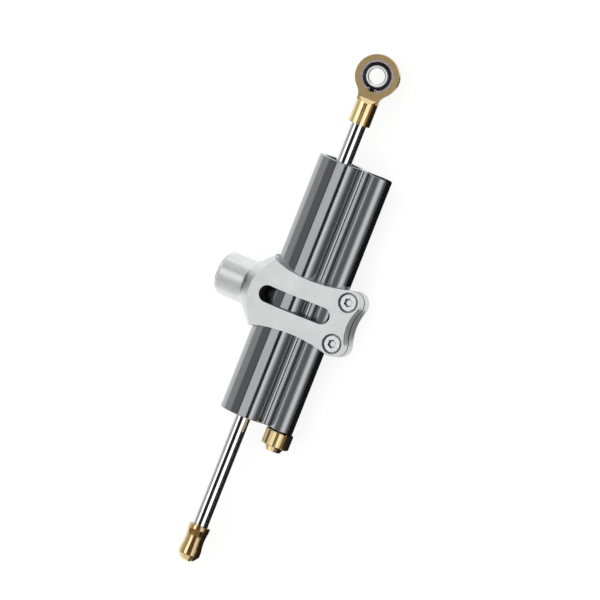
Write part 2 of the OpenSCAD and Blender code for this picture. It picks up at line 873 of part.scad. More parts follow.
// Section of the clamp in (y, z): flat block, rounded shoulder, sloping faces and flat ears
module clamp_section() {
    shoulder = block_half * [-sin(face_slope), cos(face_slope)];
    translate([0, -block_half]) square([far, block_t]);
    circle(r = block_half);
    polygon([
        shoulder, [ear_flat_y, ear_half], [-far, ear_half],
        [-far, -ear_half], [ear_flat_y, -ear_half], [shoulder[0], -shoulder[1]]
    ]);
}

// Turned envelope about Y: cone of the block, fillet and bevelled boss
module boss_envelope() {
    fillet_r = boss_r + boss_fillet;
    fillet_y = cone_apex + boss_fillet * sqrt(2) - fillet_r;
    on_cone = [fillet_r, fillet_y] - boss_fillet * [1, 1] / sqrt(2);
    rotate([-90, 0, 0]) rotate_extrude() difference() {
        polygon([
            [0, -far], [cone_apex + far, -far], on_cone, [boss_r, fillet_y],
            [boss_r, boss_reach - boss_bevel], [boss_r - boss_bevel, boss_reach], [0, boss_reach]
        ]);
        translate([fillet_r, fillet_y]) circle(r = boss_fillet + blend_sink);
    }
}

// Long round-ended window, in (x, y)
module window_plan() {
    r = window_w / 2;
    for (y = [window_boss - r, r - window_ears]) translate([0, y]) circle(r = r);
    translate([-r, r - window_ears]) square([window_w, window_boss + window_ears - window_w]);
}

// Counterbored clearance hole in the front ear and threaded hole in the back ear
module bolt_holes() {
    for (side = [-1, 1]) translate([side * lobe_u, -bolt_reach, 0]) {
        cylinder(h = far, r = bolt_d / 2 + bolt_clear);
        translate([0, 0, ear_half - counterbore_depth]) cylinder(h = far, r = counterbore_r);
        translate([0, 0, -far]) cylinder(h = far, r = bolt_d / 2 + seat_fit);
    }
}

// Threaded mounting hole in the end of the boss, with a countersunk mouth
module boss_hole() {
    r = boss_hole_d / 2;
    bottom = boss_reach - boss_hole_depth;
    rotate([-90, 0, 0]) rotate_extrude() polygon([
        [0, bottom - r / 2], [boss_tip_r, bottom - r / 2], [r, bottom],
        [r, boss_reach - boss_mouth], [r + boss_mouth, boss_reach],
        [r + boss_mouth, boss_reach + over], [0, boss_reach + over]
    ]);
}

module mounting_clamp() {
    color("#c9c9c7") translate([clamp_x, 0, 0]) difference() {
        intersection() {
            translate([0, 0, -far]) linear_extrude(2 * far) clamp_plan();
            prism_x(-far, far) clamp_section();
            boss_envelope();
        }
        prism_x(-far, far) barrel_outline(clamp_fit);
        translate([-far, -far - barrel_gap, -split_w / 2]) cube([2 * far, far, split_w]);
        linear_extrude(far) scallop(scallop_front);
        translate([0, 0, -far]) linear_extrude(2 * far) window_plan();
        bolt_holes();
        boss_hole();
    }
}

module clamp_bolts() {
    seat_z = ear_half - counterbore_depth;
    top_z = seat_z + bolt_head_h;
    head_r = bolt_head_d / 2;
    color("#c4c6c8") translate([clamp_x, 0, 0]) for (side = [-1, 1])
        translate([side * lobe_u, -bolt_reach, 0]) difference() {
            rotate_extrude() polygon([
                [0, bolt_end - ear_half], [bolt_d / 2 - bolt_bevel, bolt_end - ear_half],
                [bolt_d / 2, bolt_end + bolt_bevel - ear_half], [bolt_d / 2, seat_z],
                [head_r, seat_z], [head_r, top_z - bolt_bevel], [head_r - bolt_bevel, top_z], [0, top_z]
            ]);
            translate([0, 0, top_z - bolt_key_depth])
                cylinder(h = bolt_head_h, r = hex_r(bolt_key_w), $fn = 6);
        }
}

damper_body();
upper_gland();
lower_gland();
upper_rod_bush();
lower_rod_bush();
upper_rod_seal();
lower_rod_seal();
gland_o_rings();
gland_circlips();
bypass_plug();
plug_o_ring();
adjuster_bush();
bush_o_ring();
detent_ball();
detent_spring();
piston_ring();
piston_rod();
piston();
piston_circlips();
rod_end();
bearing_race();
bearing_circlip();
end_nut();
bearing_ball();
adjuster_knob();
knob_grub_screw();
adjuster_spindle();
spindle_o_ring();
adjuster_needle();
mounting_clamp();
clamp_bolts();
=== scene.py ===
# Motorcycle steering damper: a twin-barrel hydraulic damper with a through rod, a spherical rod end,
# a grooved adjuster knob and a split mounting clamp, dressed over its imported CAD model.
import math

import bmesh
import bpy
from mathutils import Matrix, Vector


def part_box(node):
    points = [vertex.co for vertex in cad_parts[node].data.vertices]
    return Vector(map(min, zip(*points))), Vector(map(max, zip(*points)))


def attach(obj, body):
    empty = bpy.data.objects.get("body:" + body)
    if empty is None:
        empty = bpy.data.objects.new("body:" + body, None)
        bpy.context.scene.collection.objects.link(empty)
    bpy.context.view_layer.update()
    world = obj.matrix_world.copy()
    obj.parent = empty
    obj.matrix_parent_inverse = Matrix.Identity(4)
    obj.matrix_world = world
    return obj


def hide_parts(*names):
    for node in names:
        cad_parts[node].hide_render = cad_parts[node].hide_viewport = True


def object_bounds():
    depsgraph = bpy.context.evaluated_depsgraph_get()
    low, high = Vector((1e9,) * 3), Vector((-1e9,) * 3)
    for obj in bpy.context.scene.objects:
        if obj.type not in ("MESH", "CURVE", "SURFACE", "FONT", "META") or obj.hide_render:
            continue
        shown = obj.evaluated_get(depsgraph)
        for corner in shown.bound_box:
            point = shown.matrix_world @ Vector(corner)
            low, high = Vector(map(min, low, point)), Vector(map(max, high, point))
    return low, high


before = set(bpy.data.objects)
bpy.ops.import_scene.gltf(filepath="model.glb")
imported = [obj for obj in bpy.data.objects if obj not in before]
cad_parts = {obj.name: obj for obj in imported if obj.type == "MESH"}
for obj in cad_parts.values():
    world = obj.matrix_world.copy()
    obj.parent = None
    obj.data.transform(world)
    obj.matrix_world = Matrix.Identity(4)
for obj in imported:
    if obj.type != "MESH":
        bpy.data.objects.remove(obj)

scene = bpy.context.scene
cad_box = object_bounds()


# Damper body
# One aluminium extrusion: the main barrel and the slim bypass barrel, joined by a web with a round
# groove on each face. It is sawn to length, bored from both ends, deburred and anodised gunmetal.
# Its two barrels are two meshes that meet in the creases beside the web.
MM = 0.001
body_low, body_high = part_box("damper_body")
barrel_r = body_high.z
small_r = 6.0 * MM
small_y = body_low.y + small_r
web_half = 3.05 * MM
groove_r = 4.3 * MM
groove_z = web_half + groove_r
groove_y = -math.sqrt((barrel_r + groove_r) ** 2 - groove_z ** 2)
body_edge = 0.5 * MM
seam = 0.03 * MM
# How far the painted shade in the creases beside the web reaches.
crease_shade_reach = 0.65 * MM
gland_seat_r = 9.52 * MM
bore_r = 8.75 * MM
small_bore_r = 3.52 * MM
bush_bore_depth, plug_bore_depth = 14 * MM, 7 * MM


def arc(centre, radius, start, end, steps):
    """Points along an arc in a plane, both ends included, with angles in radians."""
    return [
        (centre[0] + radius * math.cos(start + (end - start) * i / steps),
         centre[1] + radius * math.sin(start + (end - start) * i / steps))
        for i in range(steps + 1)
    ]


def crease_point(inset):
    """Where the web's groove meets the bypass barrel, in (y, z) above the middle."""
    small, groove = small_r - inset, groove_r + inset
    dy, dz = groove_y - small_y, groove_z
    apart = math.hypot(dy, dz)
    along = (small ** 2 - groove ** 2 + apart ** 2) / (2 * apart)
    aside = math.sqrt(small ** 2 - along ** 2)
    return small_y + (dy * along + dz * aside) / apart, (dz * along - dy * aside) / apart


def main_outline(inset):
    """Closed outline of the main barrel and the grooved web in (y, z), drawn in by inset. Its end is a
    seam just inside the bypass barrel."""
    crease = crease_point(inset)
    meets_main = math.atan2(groove_z, groove_y)
    crease_on_groove = math.atan2(crease[1] - groove_z, crease[0] - groove_y)
    crease_on_small = math.atan2(crease[1], crease[0] - small_y)
    upper_groove = arc(
        (groove_y, groove_z), groove_r + inset, meets_main - math.pi, crease_on_groove, 24)
    outline = arc((0, 0), barrel_r - inset, -meets_main, meets_main, 132)
    outline += upper_groove[1:]
    outline += arc((small_y, 0), small_r - inset - seam, crease_on_small, -crease_on_small, 24)
    outline += [(y, -z) for y, z in reversed(upper_groove)][:-1]
    return outline


def bypass_outline(inset):
    return arc((small_y, 0), small_r - inset, 0, 2 * math.pi, 128)[:-1]


def ring_of_points(bm, x, points):
    """One closed ring of vertices across the X axis."""
    return [bm.verts.new((x, y, z)) for y, z in points]


def skin(bm, rings):
    """Faces from each ring to the next."""
    for ring, following in zip(rings, rings[1:]):
        for i in range(len(ring)):
            j = (i + 1) % len(ring)
            bm.faces.new((ring[i], ring[j], following[j], following[i]))


def edges_round(bm, ring):
    return [bm.edges.get((ring[i - 1], ring[i])) for i in range(len(ring))]


def finished_piece(name, bm, material, crease=32):
    """Object from a mesh under construction: normals out, smooth curves, crisp edges."""
    bmesh.ops.recalc_face_normals(bm, faces=bm.faces)
    mesh = bpy.data.meshes.new(name)
    bm.to_mesh(mesh)
    bm.free()
    mesh.shade_smooth()
    mesh.set_sharp_from_angle(angle=math.radians(crease))
    mesh.materials.append(material)
    piece = bpy.data.objects.new(name, mesh)
    scene.collection.objects.link(piece)
    return piece


def new_finish(name, **sockets):
    """Material with its shader's plain sockets set; returns its tree, its shader and itself."""
    material = bpy.data.materials.new(name)
    material.use_nodes = True
    shader = material.node_tree.nodes["Principled BSDF"]
    for socket, value in sockets.items():
        shader.inputs[socket.replace("_", " ")].default_value = value
    return material.node_tree, shader, material


def place_node(tree, kind, settings=None, **sockets):
    """Adds a shader node with its properties and sockets set."""
    node = tree.nodes.new(kind)
    for key, value in (settings or {}).items():
        setattr(node, key, value)
    for socket, value in sockets.items():
        node.inputs[socket.replace("_", " ")].default_value = value
    return node


def grain_pattern(tree, stretch, detail=4.0, roughness=0.6, turn=(0, 0, 0)):
    """Noise in object coordinates, drawn out by its three frequencies per metre."""
    place = place_node(tree, "ShaderNodeTexCoord")
    mapping = place_node(tree, "ShaderNodeMapping", Scale=stretch, Rotation=turn)
    noise = place_node(tree, "ShaderNodeTexNoise", Scale=1.0, Detail=detail, Roughness=roughness)
    tree.links.new(place.outputs["Object"], mapping.inputs["Vector"])
    tree.links.new(mapping.outputs["Vector"], noise.inputs["Vector"])
    return noise.outputs["Fac"]


noise_low, noise_high = 0.3, 0.7


def two_tone(tree, pattern, low, dark, high, light):
    """Colour ramp over a pattern, dark up to the low value and light from the high one."""
    ramp = place_node(tree, "ShaderNodeValToRGB")
    for stop, position, colour in zip(ramp.color_ramp.elements, (low, high), (dark, light)):
        stop.position, stop.color = position, (*colour, 1)
    tree.links.new(pattern, ramp.inputs["Fac"])
    return ramp


def tint_by(tree, shader, pattern, dark, light):
    """Base colour from dark to light over the noise's middle range."""
    ramp = two_tone(tree, pattern, noise_low, dark, noise_high, light)
    tree.links.new(ramp.outputs["Color"], shader.inputs["Base Color"])
    return ramp


def gloss_by(tree, shader, pattern, smooth, rough):
    """Roughness between two values over the noise's middle range."""
    spread = place_node(tree, "ShaderNodeMapRange", From_Min=noise_low, From_Max=noise_high,
                        To_Min=smooth, To_Max=rough)
    tree.links.new(pattern, spread.inputs["Value"])
    tree.links.new(spread.outputs["Result"], shader.inputs["Roughness"])


def relief_by(tree, shader, pattern, depth, strength=1.0):
    """Bump from the pattern, with its depth in metres."""
    bump = place_node(tree, "ShaderNodeBump", Strength=strength, Distance=depth)
    tree.links.new(pattern, bump.inputs["Height"])
    tree.links.new(bump.outputs["Normal"], shader.inputs["Normal"])


def painted_shade_layer(tree, shader, tint, blend):
    """Mix laid over the base colour; returns the sockets of its share and of the painted shade's colour."""
    over = place_node(tree, "ShaderNodeMix", {"data_type": "RGBA", "blend_type": blend}, Factor=1.0)
    plain_side, shade_side = (socket for socket in over.inputs if socket.type == "RGBA")
    coloured = next(socket for socket in over.outputs if socket.type == "RGBA")
    tree.links.new(tint.outputs["Color"], plain_side)
    tree.links.new(coloured, shader.inputs["Base Color"])
    return over.inputs["Factor"], shade_side


def paint_shade_by_mark(tree, shader, tint, colour):
    """Blends the base colour towards a painted shade by the mesh's own crease mark."""
    share, shade_side = painted_shade_layer(tree, shader, tint, "MIX")
    mark = place_node(tree, "ShaderNodeAttribute", {"attribute_name": "crease_shade"})
    shade_side.default_value = (*colour, 1)
    tree.links.new(mark.outputs["Fac"], share)


def mark_crease_shade(piece):
    """Marks the vertices near the two creases between web and bypass barrel, which a painted shade darkens.
    """
    crease_y, crease_z = crease_point(0)
    marks = piece.data.attributes.new("crease_shade", "FLOAT", "POINT")
    for vertex, mark in zip(piece.data.vertices, marks.data):
        away = math.hypot(vertex.co.y - crease_y, abs(vertex.co.z) - crease_z)
        mark.value = max(0.0, 1 - away / crease_shade_reach)


def gunmetal_anodised():
    tree, shader, material = new_finish("gunmetal_anodised", Metallic=1.0)
    die_lines = grain_pattern(tree, (14, 2600, 2600))
    handling = grain_pattern(tree, (60, 90, 90), detail=3.0)
    tint = tint_by(tree, shader, die_lines, (0.365, 0.367, 0.38), (0.405, 0.407, 0.42))
    # Painted shade in the creases beside the web, by the crease mark.
    paint_shade_by_mark(tree, shader, tint, (0.03, 0.03, 0.033))
    gloss_by(tree, shader, handling, 0.10, 0.14)
    relief_by(tree, shader, die_lines, 0.0012 * MM)
    return material


def bore_stations(end, inward):
    """Main bore's radius by station from one end face inwards: mouth, clip groove, gland seat."""
    seat_end, groove_in, groove_out, lip = 20.1 * MM, 2.1 * MM, 1.0 * MM, 0.4 * MM
    clip_r = gland_seat_r + 0.6 * MM
    run = [(0, gland_seat_r + lip), (lip, gland_seat_r), (groove_out, gland_seat_r),
           (groove_out, clip_r), (groove_in, clip_r), (groove_in, gland_seat_r),
           (seat_end, gland_seat_r), (seat_end, bore_r)]
    return [(end + inward * depth, radius) for depth, radius in run]


def small_bore(bm, mouth, inward, depth):
    """Blind hole in the bypass barrel; returns the ring at its mouth."""
    circle = arc((small_y, 0), small_bore_r, 0, 2 * math.pi, 48)[:-1]
    rings = [ring_of_points(bm, mouth + inward * d, circle) for d in (0, depth)]
    skin(bm, rings)
    bm.faces.new(rings[1])
    return rings[0]


rounding = [(body_edge * (1 - math.cos(a)), body_edge * (1 - math.sin(a)))
            for a in (i * math.pi / 10 for i in range(6))]
stations = [(body_low.x + depth, inset) for depth, inset in rounding]
stations += [(body_high.x - depth, inset) for depth, inset in reversed(rounding)]
gunmetal = gunmetal_anodised()


def sawn_bar(bm, outline):
    """Skin of a bar with that outline and rounded ends; returns its two end rings."""
    rings = [ring_of_points(bm, x, outline(inset)) for x, inset in stations]
    skin(bm, rings)
    return rings[0], rings[-1]


def close_ends(bm, rims, mouths):
    """End faces from each rim in to the mouth of its bore."""
    for rim, mouth in zip(rims, mouths):
        bmesh.ops.triangle_fill(
            bm, use_beauty=True, edges=edges_round(bm, rim) + edges_round(bm, mouth))


bm = bmesh.new()
rims = sawn_bar(bm, main_outline)
bore = bore_stations(body_low.x, 1) + bore_stations(body_high.x, -1)[::-1]
inside = [ring_of_points(bm, x, arc((0, 0), r, 0, 2 * math.pi, 96)[:-1]) for x, r in bore]
skin(bm, inside)
close_ends(bm, rims, (inside[0], inside[-1]))
main_barrel = finished_piece("main_barrel", bm, gunmetal)
bm = bmesh.new()
rims = sawn_bar(bm, bypass_outline)
close_ends(bm, rims, (small_bore(bm, body_low.x, 1, bush_bore_depth),
                      small_bore(bm, body_high.x, -1, plug_bore_depth)))
bypass_barrel = finished_piece("bypass_barrel", bm, gunmetal)
for barrel in (main_barrel, bypass_barrel):
    mark_crease_shade(barrel)
    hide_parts("damper_body")
    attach(barrel, "barrel")


# Glands, bushes, seals and the bypass gear inside the body
# Turned alloy glands with sintered bronze bushes, rubber seals and O-rings, spring-steel circlips,
# and the bypass needle and detent. Most of it shows only at the ends of the bores.
def dress(finish, *nodes):
    for node in nodes:
        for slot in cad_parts[node].material_slots:
            slot.material = finish


def turned_alloy():
    tree, shader, material = new_finish("turned_alloy", Metallic=1.0)
    tool_marks = grain_pattern(tree, (5200, 120, 120))
    tint_by(tree, shader, tool_marks, (0.42, 0.42, 0.43), (0.55, 0.55, 0.56))
    gloss_by(tree, shader, tool_marks, 0.24, 0.36)
    relief_by(tree, shader, tool_marks, 0.006 * MM)
    return material


def sintered_bronze():
    tree, shader, material = new_finish("sintered_bronze", Metallic=1.0)
    pores = grain_pattern(tree, (3200, 3200, 3200), detail=2.0)
    tint_by(tree, shader, pores, (0.26, 0.14, 0.06), (0.52, 0.33, 0.15))
    gloss_by(tree, shader, pores, 0.3, 0.5)
    relief_by(tree, shader, pores, 0.01 * MM)
    return material


def nitrile_rubber():
    tree, shader, material = new_finish("nitrile_rubber")
    bloom = grain_pattern(tree, (900, 900, 900), detail=5.0)
    tint_by(tree, shader, bloom, (0.012, 0.012, 0.013), (0.03, 0.03, 0.031))
    gloss_by(tree, shader, bloom, 0.45, 0.62)
    relief_by(tree, shader, bloom, 0.01 * MM)
    return material


def ring_plastic():
    tree, shader, material = new_finish("ring_plastic")
    fibres = grain_pattern(tree, (700, 2100, 2100))
    tint_by(tree, shader, fibres, (0.66, 0.63, 0.55), (0.80, 0.77, 0.70))
    gloss_by(tree, shader, fibres, 0.38, 0.55)
    relief_by(tree, shader, fibres, 0.008 * MM)
    return material


def blued_spring_steel():
    tree, shader, material = new_finish("blued_spring_steel", Metallic=1.0)
    scale = grain_pattern(tree, (1400, 1400, 1400), detail=3.0)
    tint_by(tree, shader, scale, (0.055, 0.058, 0.07), (0.12, 0.122, 0.135))
    gloss_by(tree, shader, scale, 0.22, 0.4)
    relief_by(tree, shader, scale, 0.004 * MM)
    return material


def drawn_steel():
    tree, shader, material = new_finish("drawn_steel", Metallic=1.0)
    draw_lines = grain_pattern(tree, (260, 2400, 2400), detail=3.0)
    tint_by(tree, shader, draw_lines, (0.48, 0.48, 0.50), (0.62, 0.62, 0.64))
    gloss_by(tree, shader, draw_lines, 0.16, 0.28)
    relief_by(tree, shader, draw_lines, 0.003 * MM)
    return material


dress(turned_alloy(), "upper_gland", "lower_gland", "piston", "bypass_plug")
dress(sintered_bronze(), "upper_rod_bush", "lower_rod_bush", "adjuster_bush", "adjuster_needle")
dress(nitrile_rubber(), "upper_rod_seal", "lower_rod_seal", "gland_o_rings", "plug_o_ring",
      "bush_o_ring", "spindle_o_ring")
dress(ring_plastic(), "piston_ring")
dress(drawn_steel(), "adjuster_spindle", "detent_ball", "detent_spring")
dress(blued_spring_steel(), "gland_circlips", "piston_circlips", "knob_grub_screw")


# Piston rod
# A steel through rod, ground and hard chromed, 8 mm thick, with a turned spigot at each end that
# screws into the rod end and into the end nut.
rod_low, rod_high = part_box("piston_rod")
rod_r = rod_high.z
spigot_r = 3.0 * MM
spigot_len = 8.5 * MM
rod_shoulder = 0.15 * MM


def eased(profile, ease, closed=False, steps=4):
    """Rounds each corner of a (radius, station) profile by a short curve of about that size."""
    count = len(profile)
    eased_run = []
    for i, (r, s) in enumerate(profile):
        if not closed and i in (0, count - 1):
            eased_run.append((r, s))
            continue
        corner = Vector((r, s))
        before = Vector(profile[i - 1]) - corner
        after = Vector(profile[(i + 1) % count]) - corner
        start = corner + before.normalized() * min(ease, before.length * 0.45)
        end = corner + after.normalized() * min(ease, after.length * 0.45)
        for k in range(steps + 1):
            t = k / steps
            eased_run.append(tuple(start * (1 - t) ** 2 + corner * (2 * t * (1 - t)) + end * t ** 2))
    return eased_run


def turned(name, profile, finish, axis="X", ring=False, sides=128):
    """Lathe-turned piece about an axis through the origin, from its (radius, station) profile."""
    bm = bmesh.new()
    rows = []
    for r, s in profile:
        if r < 1e-7:
            row = [bm.verts.new((s, 0, 0) if axis == "X" else (0, 0, s))]
        else:
            circle = arc((0, 0), r, 0, 2 * math.pi, sides)[:-1]
            row = [bm.verts.new((s, a, b) if axis == "X" else (a, b, s)) for a, b in circle]
        rows.append(row)
    pairs = list(zip(rows, rows[1:])) + ([(rows[-1], rows[0])] if ring else [])
    for row, following in pairs:
        for i in range(sides):
            j = (i + 1) % sides
            corners = (row[i % len(row)], row[j % len(row)],
                       following[j % len(following)], following[i % len(following)])
            bm.faces.new(tuple(dict.fromkeys(corners)))
    return finished_piece(name, bm, finish)


def hard_chrome():
    tree, shader, material = new_finish("hard_chrome", Metallic=1.0)
    ground = grain_pattern(tree, (2400, 160, 160), detail=3.0)
    wiped = grain_pattern(tree, (45, 70, 70), detail=3.0)
    tint_by(tree, shader, wiped, (0.84, 0.845, 0.85), (0.93, 0.932, 0.935))
    gloss_by(tree, shader, wiped, 0.05, 0.085)
    relief_by(tree, shader, ground, 0.0008 * MM)
    return material


rod_profile = [
    (0, rod_low.x), (spigot_r, rod_low.x), (spigot_r, rod_low.x + spigot_len),
    (rod_r, rod_low.x + spigot_len), (rod_r, rod_high.x - spigot_len),
    (spigot_r, rod_high.x - spigot_len), (spigot_r, rod_high.x), (0, rod_high.x)]
rod = turned("chromed_rod", eased(rod_profile, rod_shoulder), hard_chrome())
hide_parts("piston_rod")
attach(rod, "rod")


# Rod end
# An alloy eye with flat faces, milled from bar and blended into a round collar by a scarf on each
# face. It is polished and gold anodised, and it screws onto the top of the rod.
def machined_copy(name, node, finish, edge, crease=28):
    """The node's own shape as one closed mesh, with its sharp edges broken by a small round."""
    bm = bmesh.new()
    bm.from_mesh(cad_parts[node].data)
    bmesh.ops.remove_doubles(bm, verts=bm.verts, dist=2e-6)
    bmesh.ops.dissolve_limit(
        bm, angle_limit=math.radians(0.3), verts=bm.verts, edges=bm.edges,
        use_dissolve_boundaries=False, delimit=set())
    piece = finished_piece(name, bm, finish, crease)
    rounds = piece.modifiers.new("broken_edges", "BEVEL")
    rounds.width = edge
    rounds.segments = 3
    rounds.limit_method = "ANGLE"
    rounds.angle_limit = math.radians(crease)
    even = piece.modifiers.new("even_shading", "WEIGHTED_NORMAL")
    even.keep_sharp = True
    return piece


def paint_corner_shade(tree, shader, tint, reach, darkest, full_below=0.3, unshaded_from=0.7, own=True):
    """Paints shade into the base colour in corners and gaps about as deep as the reach."""
    corner = place_node(
        tree, "ShaderNodeAmbientOcclusion", {"samples": 8, "only_local": own}, Distance=reach)
    corner_shade = two_tone(tree, corner.outputs["AO"], full_below, darkest, unshaded_from, (1, 1, 1))
    shade_side = painted_shade_layer(tree, shader, tint, "MULTIPLY")[1]
    tree.links.new(corner_shade.outputs["Color"], shade_side)


def gold_anodised():
    tree, shader, material = new_finish("gold_anodised", Metallic=1.0)
    dye = grain_pattern(tree, (260, 260, 260), detail=3.0)
    tool_marks = grain_pattern(tree, (3600, 260, 260), detail=3.0)
    tint = tint_by(tree, shader, dye, (0.82, 0.635, 0.335), (0.89, 0.71, 0.40))
    # Painted shade in the knob's grooves and where the gold parts meet their neighbours.
    paint_corner_shade(tree, shader, tint, 1.2 * MM, (0.02, 0.014, 0.005), full_below=0.55,
                     unshaded_from=0.88, own=False)
    gloss_by(tree, shader, dye, 0.12, 0.17)
    relief_by(tree, shader, tool_marks, 0.002 * MM)
    return material


def gold_milled_flat():
    tree, shader, material = new_finish("gold_milled_flat", Metallic=1.0)
    dye = grain_pattern(tree, (420, 420, 420), detail=4.0)
    blast = grain_pattern(tree, (2800, 2800, 2800), detail=2.0)
    tint_by(tree, shader, dye, (0.60, 0.465, 0.225), (0.68, 0.53, 0.27))
    gloss_by(tree, shader, blast, 0.42, 0.52)
    relief_by(tree, shader, blast, 0.008 * MM)
    return material


eye_turn = Matrix.Rotation(math.radians(14), 4, "X")
gold = gold_anodised()
eye = machined_copy("gold_rod_end", "rod_end", gold, 0.45 * MM)
eye.data.materials.append(gold_milled_flat())
eye_axis = eye_turn.to_3x3() @ Vector((0, 0, 1))
eye_flat = 0.999
for face in eye.data.polygons:
    face.material_index = int(abs(face.normal.dot(eye_axis)) > eye_flat)
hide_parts("rod_end")
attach(eye, "rod")


# Spherical bearing
# A hardened steel race pressed into the eye and held by a circlip, with a polished ball that tilts
# in it and carries the steering bolt in its bore.
race_r, race_half = 8.0 * MM, 2.5 * MM
ball_r, ball_half = 6.5 * MM, 4.0 * MM
ball_bore_r = 4.0 * MM
race_play = 0.06 * MM
race_crown = 0.6 * MM


def ground_bearing_steel(name, dark, light, smooth, rough, shade_reach):
    tree, shader, material = new_finish(name, Metallic=1.0)
    ground = grain_pattern(tree, (900, 900, 3800), detail=3.0)
    oil = grain_pattern(tree, (300, 300, 300), detail=2.0)
    tint = tint_by(tree, shader, oil, dark, light)
    # Painted shade in the gaps round the ball, its race and the circlip.
    paint_corner_shade(tree, shader, tint, shade_reach, (0.03, 0.03, 0.035), unshaded_from=0.8, own=False)
    gloss_by(tree, shader, oil, smooth, rough)
    relief_by(tree, shader, ground, 0.002 * MM)
    return material


def bright_spring_steel():
    tree, shader, material = new_finish("bright_spring_steel", Metallic=1.0)
    rolled = grain_pattern(tree, (700, 700, 2400), detail=3.0)
    tint_by(tree, shader, rolled, (0.72, 0.69, 0.78), (0.84, 0.81, 0.90))
    gloss_by(tree, shader, rolled, 0.38, 0.46)
    relief_by(tree, shader, rolled, 0.003 * MM)
    return material


hollow = ball_r + race_play
hollow_angle = math.asin(race_half / hollow)
race_mouth_r = hollow * math.cos(hollow_angle)
crown = [(race_mouth_r + (race_r - race_mouth_r) * t, race_half - race_crown * t ** 2)
         for t in (i / 8 for i in range(9))]
race_profile = [(r, -z) for r, z in crown] + crown[::-1]
race_profile += [(hollow * math.cos(a), hollow * math.sin(a))
                 for a in (hollow_angle * (1 - i / 8) for i in range(1, 16))]
# The race is coloured near black as painted shade in the gap between the eye and the ball.
race_steel = ground_bearing_steel(
    "race_steel", (0.08, 0.077, 0.086), (0.13, 0.125, 0.138), 0.2, 0.28, shade_reach=1.2 * MM)
race = turned("bearing_race_ring", race_profile, race_steel, axis="Z", ring=True)
race.data.transform(eye_turn)
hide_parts("bearing_race")
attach(race, "rod")

flat_angle = math.asin(ball_half / ball_r)
ball_profile = [(ball_r * math.cos(a), ball_r * math.sin(a))
                for a in (flat_angle * (i / 12 - 1) for i in range(25))]
bore_edge = 0.35 * MM
ball_profile += [
    (ball_bore_r + bore_edge, ball_half), (ball_bore_r, ball_half - bore_edge),
    (ball_bore_r, bore_edge - ball_half), (ball_bore_r + bore_edge, -ball_half)]
ball_steel = ground_bearing_steel(
    "ball_steel", (0.62, 0.62, 0.63), (0.74, 0.74, 0.75), 0.09, 0.14, shade_reach=1.8 * MM)
ball = turned("bearing_ball_ring", ball_profile, ball_steel, axis="Z", ring=True)
ball.data.transform(eye_turn)
dress(bright_spring_steel(), "bearing_circlip")
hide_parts("bearing_ball")
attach(ball, "ball")


# End nut
# A waisted nut turned from alloy bar and gold anodised like the rod end. It closes the lower end of
# the rod and has a screwdriver slot in its tapered tip.
nut_low, nut_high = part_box("end_nut")
nut_r = nut_high.z
nut_rim = 2.3 * MM
nut_waist_r = 5.0 * MM
nut_waist_run = 5.0 * MM
nut_bevel = 3.4 * MM
nut_tip_r = 2.1 * MM
nut_cone_r, nut_cone_run = 3.85 * MM, 1.0 * MM
nut_slot_w = 1.3 * MM
nut_slot_turn = math.radians(42)
nut_edge = 0.3 * MM


def waist_profile():
    """The nut's outside, from the tip to the face against the rod."""
    dip = nut_r - nut_waist_r
    waist_arc_r = (nut_waist_run ** 2 + dip ** 2) / (2 * dip)
    thin_x = nut_high.x - nut_rim - nut_waist_run
    waist = []
    for i in range(25):
        along = nut_waist_run * (i / 12 - 1)
        waist.append((nut_waist_r + waist_arc_r - math.sqrt(waist_arc_r ** 2 - along ** 2),
                      thin_x + along))
    tip = [(0, nut_low.x), (nut_tip_r, nut_low.x), (nut_cone_r, nut_low.x + nut_cone_run),
           (nut_r, nut_low.x + nut_bevel), waist[0]]
    rim = [waist[-1], (nut_r, nut_high.x), (0, nut_high.x)]
    return eased(tip, nut_edge) + waist[1:-1] + eased(rim, nut_edge)


def slot_cut(piece, slot_low, slot_high, turn):
    """Cuts a box-shaped slot, turned about the X axis, out of a piece."""
    bm = bmesh.new()
    size = slot_high - slot_low
    place = Matrix.Rotation(turn, 4, "X") @ Matrix.Translation((slot_low + slot_high) / 2)
    bmesh.ops.create_cube(bm, size=1, matrix=place @ Matrix.Diagonal((*size, 1)))
    cut_out(piece, bm)


def cut_out(piece, bm):
    """Cuts the shape of a mesh under construction out of a piece."""
    cutter = finished_piece("cutter", bm, piece.data.materials[0])
    cut = piece.modifiers.new("cut", "BOOLEAN")
    cut.operation = "DIFFERENCE"
    cut.solver = "EXACT"
    cut.object = cutter
    settle(piece)
    bpy.data.objects.remove(cutter)


def settle(piece):
    """Turns what the modifiers make into the piece's plain mesh."""
    ready = piece.evaluated_get(bpy.context.evaluated_depsgraph_get())
    mesh = bpy.data.meshes.new_from_object(ready)
    piece.modifiers.clear()
    piece.data = mesh


# Dark gold for the walls of the nut's slot, as painted shade.
def slot_shade_gold():
    tree, shader, material = new_finish("slot_shade_gold", Metallic=1.0)
    mottle = grain_pattern(tree, (500, 500, 500), detail=4.0)
    tint_by(tree, shader, mottle, (0.09, 0.05, 0.012), (0.2, 0.125, 0.04))
    gloss_by(tree, shader, mottle, 0.34, 0.46)
    relief_by(tree, shader, mottle, 0.006 * MM)
    return material


nut = turned("gold_end_nut", waist_profile(), gold)
slot_reach, slot_overrun = 12 * MM, 1 * MM
slot_cut(nut, Vector((nut_low.x - slot_overrun, -nut_slot_w / 2, -slot_reach)),
         Vector((nut_low.x + nut_bevel, nut_slot_w / 2, slot_reach)), nut_slot_turn)
# The slot's faces take the dark gold: painted shade inside the slot.
nut.data.materials.append(slot_shade_gold())
across_slot = Vector((0, math.cos(nut_slot_turn), math.sin(nut_slot_turn)))
slot_skin = 0.02 * MM
for face in nut.data.polygons:
    between_walls = abs(face.center.dot(across_slot)) < nut_slot_w / 2 + slot_skin
    face.material_index = int(between_walls and face.center.x < nut_low.x + nut_bevel + slot_skin)
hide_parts("end_nut")
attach(nut, "rod")


